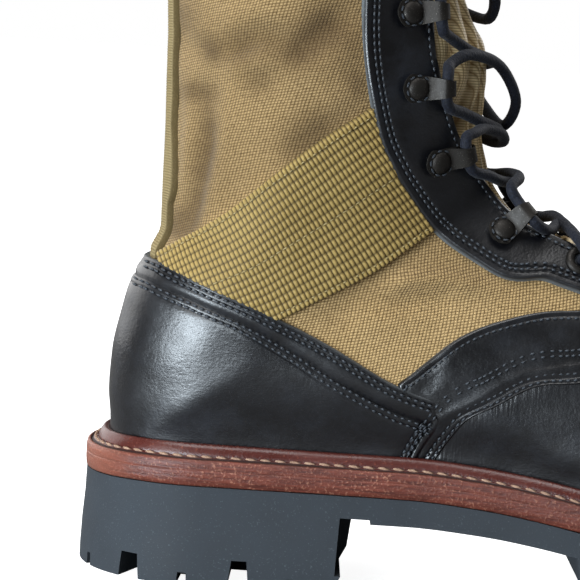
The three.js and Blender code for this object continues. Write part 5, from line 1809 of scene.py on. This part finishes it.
side_view = [
    (BACK_X - SPARE, 0.0),
    (waist_start - 4 * STEP_SLANT, 0.0),
    (waist_start - 0.8 * STEP_SLANT, 1.17 * HEEL_TREAD),
    (waist_start, under(waist_start)),
]
for k in range(41):
    x = mix(waist_start + 2 * STEP_SLANT, fore_start, k / 40)
    side_view.append((x, under(x)))
side_view.append((fore_start + STEP_SLANT, tread_line(fore_start + STEP_SLANT)))
for k in range(41):
    x = mix(fore_start + 2 * STEP_SLANT, TOE_X + SPARE, k / 40)
    side_view.append((x, tread_line(x)))
for k in range(61):
    x = mix(TOE_X + SPARE, BACK_X - SPARE, k / 60)
    side_view.append((x, seat(x)))


def shape(name, made):
    """A shape for cutting, not part of the boot."""
    data = bpy.data.meshes.new(name)
    made.to_mesh(data)
    made.free()
    shown = bpy.data.objects.new(name, data)
    stage.collection.objects.link(shown)
    return shown


side_mesh = bmesh.new()
corners = [side_mesh.verts.new((x, -CUT_REACH, z)) for x, z in side_view]
side_face = side_mesh.faces.new(corners)
pulled = bmesh.ops.extrude_face_region(side_mesh, geom=[side_face])["geom"]
bmesh.ops.translate(
    side_mesh, vec=(0, 2 * CUT_REACH, 0), verts=[g for g in pulled if isinstance(g, bmesh.types.BMVert)]
)
bmesh.ops.recalc_face_normals(side_mesh, faces=side_mesh.faces)
side_shape = shape("side_shape", side_mesh)
block_mesh = bmesh.new()
rings = []
for level_z in BLOCK_LEVELS:
    flare = EDGE_FLARE * (1 - clamp(level_z / HEEL_STACK, 0, 1)) + 0.0002 * math.sin(level_z * 200)
    rings.append([Vector((x, y, level_z)) for x, y in sole_outline(SOLE_REACH + flare)])
lofted(block_mesh, rings)
bmesh.ops.holes_fill(block_mesh, edges=block_mesh.edges[:])
bmesh.ops.recalc_face_normals(block_mesh, faces=block_mesh.faces)
block = shape("block", block_mesh)
groove_mesh = bmesh.new()
for start, inner, stop, outer, foot, top, depth, tread in GROOVES:
    for side in (-1, 1):
        first = Vector((along_last(start), side * inner * BALL_WIDTH, 0))
        second = Vector((along_last(stop), side * outer * BALL_WIDTH, 0))
        first.z = 0 if first.x < waist_start else tread_line(first.x)
        along = second - first
        along.z = 0
        long = along.length
        along.normalize()
        across = Vector((-along.y, along.x, 0))
        box = bmesh.ops.create_cube(groove_mesh, size=1.0)["verts"]
        for vert in box:
            a, b, c = vert.co + Vector((0.5, 0, 0.5))
            wide = mix(foot, top, c) * GROOVE_WIDTH
            level_z = mix(-tread, depth * tread, c)
            vert.co = first + along * (a * long) + across * (b * wide) + Vector((0, 0, level_z))
bmesh.ops.recalc_face_normals(groove_mesh, faces=groove_mesh.faces)
groove_shape = shape("grooves", groove_mesh)
for operation, cutter in (("INTERSECT", side_shape), ("DIFFERENCE", groove_shape)):
    cut = block.modifiers.new("cut", "BOOLEAN")
    cut.operation = operation
    cut.object = cutter
    cut.solver = "EXACT"
    cut.use_self = operation == "DIFFERENCE"
graph = bpy.context.evaluated_depsgraph_get()
carved = bpy.data.meshes.new_from_object(block.evaluated_get(graph))
outsole_mesh = bmesh.new()
outsole_mesh.from_mesh(carved)
for used in (block, side_shape, groove_shape):
    bpy.data.objects.remove(used)
bmesh.ops.remove_doubles(outsole_mesh, verts=outsole_mesh.verts, dist=0.00003)
bmesh.ops.dissolve_degenerate(outsole_mesh, edges=outsole_mesh.edges, dist=0.00003)
rubber, tree, shader = finish_of("dark_rubber", 0.72, 0.35)
fine = noise_of(tree, 1700, 3.0)
broad = noise_of(tree, 60, 5.0, 0.65)
tone = blend(tree, broad, tint(38, 42, 47), tint(60, 66, 72))
speck = ranged(tree, fine, 0.62, 0.76, 0.0, 0.35)
tree.links.new(blend(tree, speck, tone, tint(108, 116, 120)), shader.inputs["Base Color"])
tree.links.new(ranged(tree, broad, 0.3, 0.7, 0.62, 0.85), shader.inputs["Roughness"])
bumped(tree, shader, fine, 0.00012, 0.6)
outsole = piece("lugged_outsole", outsole_mesh, [rubber], "rubber", "outsole")
outsole.data.set_sharp_from_angle(angle=math.radians(32))
soft_edge = outsole.modifiers.new("moulded_edges", "BEVEL")
soft_edge.width = 0.0004
soft_edge.segments = 2
soft_edge.limit_method = "ANGLE"
soft_edge.angle_limit = math.radians(40)

# Insole: a leather board on the midsole inside the upper, dished a little to the foot. The upper is lasted
# round its edge.
INSOLE_THICK = 0.003
INSOLE_ROWS = 90
INSOLE_COLUMNS = 24
insole_mesh = bmesh.new()
for vert in bmesh.ops.create_grid(
    insole_mesh, x_segments=INSOLE_ROWS, y_segments=INSOLE_COLUMNS, size=0.5
)["verts"]:
    x = mix(BACK_X + 0.0036, TOE_X - 0.0036, (1 - math.cos(math.pi * (vert.co.x + 0.5))) / 2)
    across = vert.co.y * 2
    side = -1 if across < 0 else 1
    toe = toe_round(x)
    half = max(plan_half[side](x) * rounding(x - BACK_X, HEEL_ROUND, HEEL_CURVE) * toe - 0.0030, 0.0008)
    dish = 0.0016 * across * across
    vert.co = (x, TOE_SHIFT * (1 - toe) + across * half, seat(x) + FEATHER + INSOLE_THICK + dish)
facing_up(insole_mesh, insole_mesh.faces)
board, tree, shader = finish_of("board_leather", 0.7, 0.3)
fine = noise_of(tree, 900, 3.0)
broad = noise_of(tree, 30, 4.0)
tone = blend(tree, broad, tint(120, 88, 56), tint(176, 140, 98))
tree.links.new(blend(tree, fine, tone, tint(150, 116, 78)), shader.inputs["Base Color"])
bumped(tree, shader, fine, 0.0002, 0.5)
insole = piece("leather_insole", insole_mesh, [board], "board_leather", "insole")
wall = insole.modifiers.new("wall", "SOLIDIFY")
wall.thickness = INSOLE_THICK
wall.offset = -1

# Lace loops: gunmetal plates folded over a tunnel for the lace, each held by a round rivet in a notched ring.
# Seven stand up each facing.
LACE = 0.0034
BORE = LACE / 2 + GAP
PLATE = 0.0008
LOOP_WIDTH = 0.007
LOOP_REACH = 0.0085
RIVET_RADIUS = 0.0033
RIVET_FLATNESS = 0.42
RIVET_RISE = 0.0011
NOTCHES = 8
NOTCH_RADIUS = 0.0037
PLATE_END = 0.0046
PLATE_ROOT = 0.0038
PLATE_TIP = 0.0022
LOOPS = (
    (0.388, 0.437, 43),
    (0.3135, 0.5215, 16),
    (0.286, 0.6055, 3),
    (0.2745, 0.6905, 6),
    (0.275, 0.777, 5),
    (0.275, 0.862, 5),
    (0.276, 0.943, 5),
)
EYELETS = ((0.471, 0.408), (0.529, 0.380))
FITTING_STAND = 0.0012
gunmetal, tree, shader = finish_of("gunmetal", 0.42, 0.5)
shader.inputs["Metallic"].default_value = 0.6
broad = noise_of(tree, 260, 4.0, 0.6)
fine = noise_of(tree, 3000, 2.0)
tone = blend(tree, broad, tint(30, 28, 26), tint(50, 46, 42))
scratch = ranged(tree, fine, 0.64, 0.78, 0.0, 0.5)
tree.links.new(blend(tree, scratch, tone, tint(150, 146, 138)), shader.inputs["Base Color"])
tree.links.new(ranged(tree, broad, 0.3, 0.7, 0.38, 0.6), shader.inputs["Roughness"])
bumped(tree, shader, broad, 0.00015, 0.4)


def fitting(side, at, up, turn=0.0):
    """Where a fitting sits on the leather: its foot and its along, across and out directions."""
    foot, out = surface(side, along_last(at), level_at(up), SKIN + FITTING_STAND)
    lean = math.radians(turn)
    along = Vector((math.cos(lean), 0, math.sin(lean)))
    along = (along - out * along.dot(out)).normalized()
    return foot, along, out.cross(along), out


outer = PLATE + BORE
bend = outer - PLATE / 2
# the plate's way, seen from its side: under the rivet, up to the tunnel, round it and back
plate_path = [(-PLATE_END + k * PLATE_END / 6, 0.0007) for k in range(6)]
plate_path.append((0.0, 0.0008))
for share in (k / 6 for k in range(7)):
    rise = mix(0.0010, 1.93 * outer, ease(share * 0.93))
    plate_path.append((mix(0.0022, LOOP_REACH - 0.0012, share), rise))
for k in range(9):
    turn = math.radians(85 - 175 * k / 8)
    plate_path.append((LOOP_REACH + bend * math.cos(turn), outer + bend * math.sin(turn)))
plate_path += [(LOOP_REACH - 0.002, PLATE / 2), (RIVET_RADIUS, 0.0002), (0.0, 0.0001)]
path_parts = len(plate_path) - 1
for side, name in ((-1, "lateral"), (1, "medial")):
    for row, (at, up, turn) in enumerate(LOOPS, 1):
        loop_mesh = bmesh.new()
        for vert in bmesh.ops.create_grid(loop_mesh, x_segments=path_parts, y_segments=8, size=0.5)["verts"]:
            a, c = plate_path[round((vert.co.x + 0.5) * path_parts)]
            half = mix(PLATE_ROOT, PLATE_TIP, clamp((a - 0.001) / LOOP_REACH, 0, 1))
            if a < 0:
                tail = math.sqrt(max(PLATE_END ** 2 - a * a, 0.0000004))
                half = mix(tail, PLATE_ROOT, ease(1 + a / 0.0022))
            vert.co = (a, vert.co.y * 2 * half, c)
        facing_up(loop_mesh, [f for f in loop_mesh.faces if f.calc_center_median().x < RIVET_RADIUS])
        bmesh.ops.solidify(loop_mesh, geom=loop_mesh.faces[:], thickness=PLATE * 0.8)
        head = bmesh.ops.create_uvsphere(loop_mesh, u_segments=24, v_segments=12, radius=RIVET_RADIUS)
        for vert in head["verts"]:
            vert.co.z = vert.co.z * RIVET_FLATNESS + RIVET_RISE
        # painted shade: the ring's notches are dark blobs in the thread's dark finish, standing in for the
        # shade in the gaps round the rivet head
        for k in range(NOTCHES):
            turn_k = math.radians(50 + 260 * k / (NOTCHES - 1))
            spot = Vector((NOTCH_RADIUS * math.cos(turn_k), NOTCH_RADIUS * math.sin(turn_k), 0.0012))
            turned = Matrix.Translation(spot) @ Matrix.Rotation(turn_k + math.pi / 2, 4, "Z")
            place = turned @ Matrix.Diagonal((1.3, 0.5, 0.5, 1))
            slot = bmesh.ops.create_icosphere(loop_mesh, subdivisions=1, radius=0.0007, matrix=place)["verts"]
            for face in {f for v in slot for f in v.link_faces}:
                face.material_index = 1
        foot, along, across, out = fitting(side, at, up, turn)
        bmesh.ops.transform(loop_mesh, matrix=standing(along, across, out, foot), verts=loop_mesh.verts)
        finishes = [gunmetal, dark_thread_and_gap_shade]
        made = piece(f"lace_loop_{name}_{row}", loop_mesh, finishes, "gunmetal", f"loop_{name}_{row}")
        made.data.set_sharp_from_angle(angle=math.radians(40))

# Eyelets: rolled gunmetal rings set through facing and canvas. Two sit at the foot of each facing, below the
# loops.
EYELET_RISE = 0.0009
EYELET_SIDES = 32
EYELET_SUNK = 0.0008
EYELET_PROFILE = (
    (0.00235, -0.0016),
    (0.0024, 0.0003),
    (0.0027, 0.0008),
    (0.0034, 0.00105),
    (0.0042, 0.0009),
    (0.0047, 0.0005),
    (0.0049, -0.0001),
)
for side, name in ((-1, "lateral"), (1, "medial")):
    for row, (at, up) in enumerate(EYELETS, 1):
        ring_mesh = bmesh.new()
        turns = [2 * math.pi * k / EYELET_SIDES for k in range(EYELET_SIDES)]
        rings = []
        for radius, rise in EYELET_PROFILE:
            rings.append([Vector((radius * math.cos(a), radius * math.sin(a), rise)) for a in turns])
        lofted(ring_mesh, rings)
        bmesh.ops.recalc_face_normals(ring_mesh, faces=ring_mesh.faces)
        # painted shade: a dark disc fills the eyelet's hole, standing in for the shade inside it
        bmesh.ops.create_circle(
            ring_mesh, cap_ends=True, segments=24, radius=0.0024, matrix=Matrix.Translation((0, 0, -0.0004))
        )
        for face in ring_mesh.faces:
            if len(face.verts) > 4:
                face.material_index = 1
                if face.normal.z < 0:
                    face.normal_flip()
        foot, along, across, out = fitting(side, at, up)
        matrix = standing(along, across, out, foot - out * EYELET_SUNK)
        bmesh.ops.transform(ring_mesh, matrix=matrix, verts=ring_mesh.verts)
        finishes = [gunmetal, dark_thread_and_gap_shade]
        piece(f"facing_eyelet_{name}_{row}", ring_mesh, finishes, "gunmetal", f"eyelet_{name}_{row}")

# Lace: one dark braided cotton cord. From the eyelets it crosses the tongue at every row, passes each loop
# from below and hangs in slack bows between the rows. Its ends stop in the top loops.
LACE_SIDES = 12
LACE_STEPS = 7
LACE_RADIUS = 0.00178
LACE_FLATNESS = 0.92
# row, place along the last, share of the shaft's width across, height share
RISING = (
    (0, 0.466, -0.247, 0.440),
    (0, 0.458, -0.082, 0.450),
    (0, 0.450, 0.068, 0.456),
    (0, 0.440, 0.178, 0.452),
    (1, 0.396, -0.233, 0.494),
    (1, 0.406, -0.123, 0.504),
    (1, 0.399, 0.014, 0.506),
    (1, 0.378, 0.164, 0.502),
    (2, 0.354, -0.301, 0.557),
    (2, 0.365, -0.192, 0.561),
    (2, 0.385, -0.055, 0.555),
    (2, 0.389, 0.055, 0.543),
    (2, 0.368, 0.192, 0.547),
    (3, 0.323, -0.37, 0.636),
    (3, 0.344, -0.274, 0.648),
    (3, 0.378, -0.096, 0.636),
    (3, 0.399, -0.014, 0.595),
    (3, 0.389, 0.068, 0.563),
    (3, 0.368, 0.192, 0.587),
    (3, 0.34, 0.288, 0.64),
    (4, 0.323, -0.301, 0.733),
    (4, 0.347, -0.11, 0.745),
    (4, 0.347, 0.082, 0.745),
    (4, 0.323, 0.288, 0.749),
)
FALLING = (
    (0, 0.440, -0.178, 0.444),
    (0, 0.450, -0.055, 0.448),
    (0, 0.458, 0.082, 0.444),
    (0, 0.466, 0.247, 0.436),
    (1, 0.372, -0.233, 0.506),
    (1, 0.389, -0.123, 0.498),
    (1, 0.406, 0.041, 0.496),
    (1, 0.396, 0.219, 0.494),
    (2, 0.34, -0.301, 0.579),
    (2, 0.361, -0.192, 0.569),
    (2, 0.382, -0.041, 0.559),
    (2, 0.378, 0.11, 0.551),
    (2, 0.351, 0.274, 0.551),
    (3, 0.319, -0.342, 0.668),
    (3, 0.344, -0.205, 0.652),
    (3, 0.372, 0.0, 0.64),
    (3, 0.347, 0.247, 0.632),
    (4, 0.323, -0.301, 0.761),
    (4, 0.365, -0.055, 0.729),
    (4, 0.365, 0.055, 0.692),
    (4, 0.33, 0.274, 0.704),
)
PLAIN_ROWS = (5, 6)
PLAIN = ((0.316, -0.28, -0.02), (0.344, -0.08, -0.006), (0.344, 0.08, 0.006), (0.316, 0.28, 0.02))
OVER_BAR = ((0.528, -0.151, 0.419), (0.526, 0.0, 0.431), (0.528, 0.151, 0.417))


def in_space(at, out, up):
    return Vector((along_last(at), out * SHAFT_WIDTH, level_at(up)))


def crossing(table, row):
    if row in PLAIN_ROWS:
        middle = (LOOPS[row - 1][1] + LOOPS[row][1]) / 2
        sense = 1 if table is RISING else -1
        return [in_space(at, out, middle + sense * climb) for at, out, climb in PLAIN]
    return [in_space(*place[1:]) for place in table if place[0] == row]


def in_loop(side, row):
    foot, along, across, out = fitting(side, *LOOPS[row - 1])
    middle = foot + out * (PLATE + BORE) + along * LOOP_REACH
    up = 1 if across.z > 0 else -1
    reach = LOOP_WIDTH / 2 + 0.3 * LACE
    return [middle - across * up * reach, middle + across * up * reach]


def in_eyelet(side, row):
    foot, along, across, out = fitting(side, *EYELETS[row - 1])
    return [foot - out * 0.004, foot - out * 0.0006, foot + out * (EYELET_RISE + 1.1 * LACE - 0.0012)]


def lace_half(start):
    points = in_eyelet(start, 1)
    side = start
    for row in range(len(LOOPS)):
        points += crossing(RISING, row) if side < 0 else crossing(FALLING, row)[::-1]
        side = -side
        points += in_loop(side, row + 1)
    return points


def cord(made, points):
    """A cord swept along places in space, a little flatter than round."""
    path = [Vector(p) for p in spline(points, (len(points) - 1) * LACE_STEPS)]
    turns = [2 * math.pi * k / LACE_SIDES for k in range(LACE_SIDES)]
    across = Vector((0, 0, 1))
    rings = []
    far = 0.0
    for i, point in enumerate(path):
        ahead_way = (path[min(i + 1, len(path) - 1)] - path[max(i - 1, 0)]).normalized()
        across = (across - ahead_way * across.dot(ahead_way)).normalized()
        third = ahead_way.cross(across)
        far += (point - path[max(i - 1, 0)]).length
        radius = LACE_RADIUS * (1 + 0.04 * noise.noise(Vector((far * 260, 3, 3))))
        rings.append(
            [point + (across * math.cos(a) + third * math.sin(a) * LACE_FLATNESS) * radius for a in turns]
        )
    lofted(made, rings)


def cord_piece(name, made, node_name):
    """A cord's mesh with its ends closed, as a piece."""
    bmesh.ops.holes_fill(made, edges=[e for e in made.edges if e.is_boundary])
    bmesh.ops.recalc_face_normals(made, faces=made.faces)
    piece(name, made, [lace_cord], "lace_cord", node_name)


lace_cord, tree, shader = finish_of("lace_cord", 0.72, 0.3)
fine = noise_of(tree, 2600, 2.0)
broad = noise_of(tree, 120, 3.0)
place = node(tree, "TexCoord").outputs["Object"]
plait = node(tree, "TexVoronoi", {"Vector": place, "Scale": 1400.0}, feature="SMOOTH_F1").outputs["Distance"]
tone = blend(tree, broad, tint(10, 12, 19), tint(21, 25, 37))
light = ranged(tree, fine, 0.5, 0.8, 0.0, 0.45)
tree.links.new(blend(tree, light, tone, tint(52, 60, 84)), shader.inputs["Base Color"])
shader.inputs["Sheen Weight"].default_value = 0.05
bumped(tree, shader, plait, 0.0003, 0.7)
lace_mesh = bmesh.new()
for start in (-1, 1):
    cord(lace_mesh, lace_half(start))
cord_piece("boot_lace", lace_mesh, "lace_crossings")
bar_mesh = bmesh.new()
cord(bar_mesh, in_eyelet(-1, 2) + [in_space(*p) for p in OVER_BAR] + in_eyelet(1, 2)[::-1])
cord_piece("lace_foot_bar", bar_mesh, "lace_bar")

# Seams: waxed black thread through the leathers in rows along the edges that they hold, olive thread in the
# ankle tapes, and a pale heavy thread through the welt.
seam_mesh = bmesh.new()
# line that a row follows, its reach to the line's left and its height over the shell
BLACK_ROWS = (
    (row_back, -COUNTER_ROWS[0], SKIN + COUNTER_PROUD),
    (row_back, -COUNTER_ROWS[1], SKIN + COUNTER_PROUD),
    (top_back, -BAND_ROWS[0], SKIN + LAP_PROUD),
    (top_back, -BAND_ROWS[1], SKIN + LAP_PROUD),
    (join_low, JOIN_ROWS[0], SKIN + COUNTER_PROUD),
    (join_low, JOIN_ROWS[1], SKIN + COUNTER_PROUD),
    (low_edge, STRAP_ROWS[0], SKIN + 0.0001),
    (low_edge, STRAP_ROWS[1], SKIN + 0.0001),
    (low_edge, 0.0082, SKIN + 0.0005),
    (low_edge, 0.0097, SKIN + 0.0003),
    (high_edge[len(rear_foot) :], -STRAP_TOP_ROW, SKIN + 0.0002),
    (stay_used, STAY_ROWS[0], SKIN + 0.0009),
    (stay_used, STAY_ROWS[1], SKIN + 0.0007),
    (throat_used, -STAY_FRONT_ROW, SKIN - 0.0001),
)
for side in (-1, 1):
    for line, reach, height in BLACK_ROWS:
        stitches(seam_mesh, line, side, reach, height)
piece("leather_seams", seam_mesh, [dark_thread_and_gap_shade], "black_leather")
tape_thread, tree, shader = finish_of("olive_thread", 0.7, 0.3)
thread_mottle = noise_of(tree, 3000, 1.0)
tree.links.new(blend(tree, thread_mottle, tint(120, 102, 60), tint(196, 178, 130)), shader.inputs["Base Color"])
tape_seam_mesh = bmesh.new()
web_middle = [web_at(k / 80, 0.5) for k in range(81)]
TAPE_ROW = 0.0021


def on_tape(x, z):
    return back_line(z) + 0.003 < x < stay_x(z) - 0.001 and z > height_on(counter_top, x) + 0.001


for side in (-1, 1):
    for line, reach in ((web_top, -TAPE_ROW), (web_low, TAPE_ROW)):
        stitches(tape_seam_mesh, line, side, reach, WEBBING_STAND + 0.0005, 0.0020, 0.00022, 0.6, on_tape)
    stitches(tape_seam_mesh, web_middle, side, 0.0, WEBBING_STAND + 0.0006, 0.0022, 0.00020, 0.8, on_tape)
piece("tape_seams", tape_seam_mesh, [tape_thread], "webbing")
welt_thread, tree, shader = finish_of("pale_thread", 0.7, 0.3)
thread_mottle = noise_of(tree, 1500, 2.0)
tree.links.new(blend(tree, thread_mottle, tint(112, 78, 62), tint(200, 166, 140)), shader.inputs["Base Color"])
WELT_ROW = 0.0021
WELT_PITCH = 0.0043
WELT_THREAD = 0.0005
WELT_STITCH_HALF = 0.54
# the share of the pitch and the height where a stitch starts and ends
WELT_STITCH = ((0.06, 0.0039), (0.94, 0.0034))
welt_seam_mesh = bmesh.new()
row = sole_outline(SOLE_REACH - WELT_ROW)
way = runner(row + [row[0]])
count = int(way.length / WELT_PITCH)
for k in range(count):
    ends = []
    for share, lift in WELT_STITCH:
        x, y = way((k + share) / count)
        ends.append(Vector((x, y, seat(x) + FEATHER + lift)))
    along = ends[1] - ends[0]
    up = Vector((0, 0, WELT_THREAD))
    across = Vector((0, 0, 1)).cross(along).normalized() * WELT_THREAD
    matrix = standing(along * WELT_STITCH_HALF, across, up, (ends[0] + ends[1]) / 2)
    bmesh.ops.create_icosphere(welt_seam_mesh, subdivisions=1, radius=1.0, matrix=matrix)
piece("welt_seam", welt_seam_mesh, [welt_thread], "welt_leather")
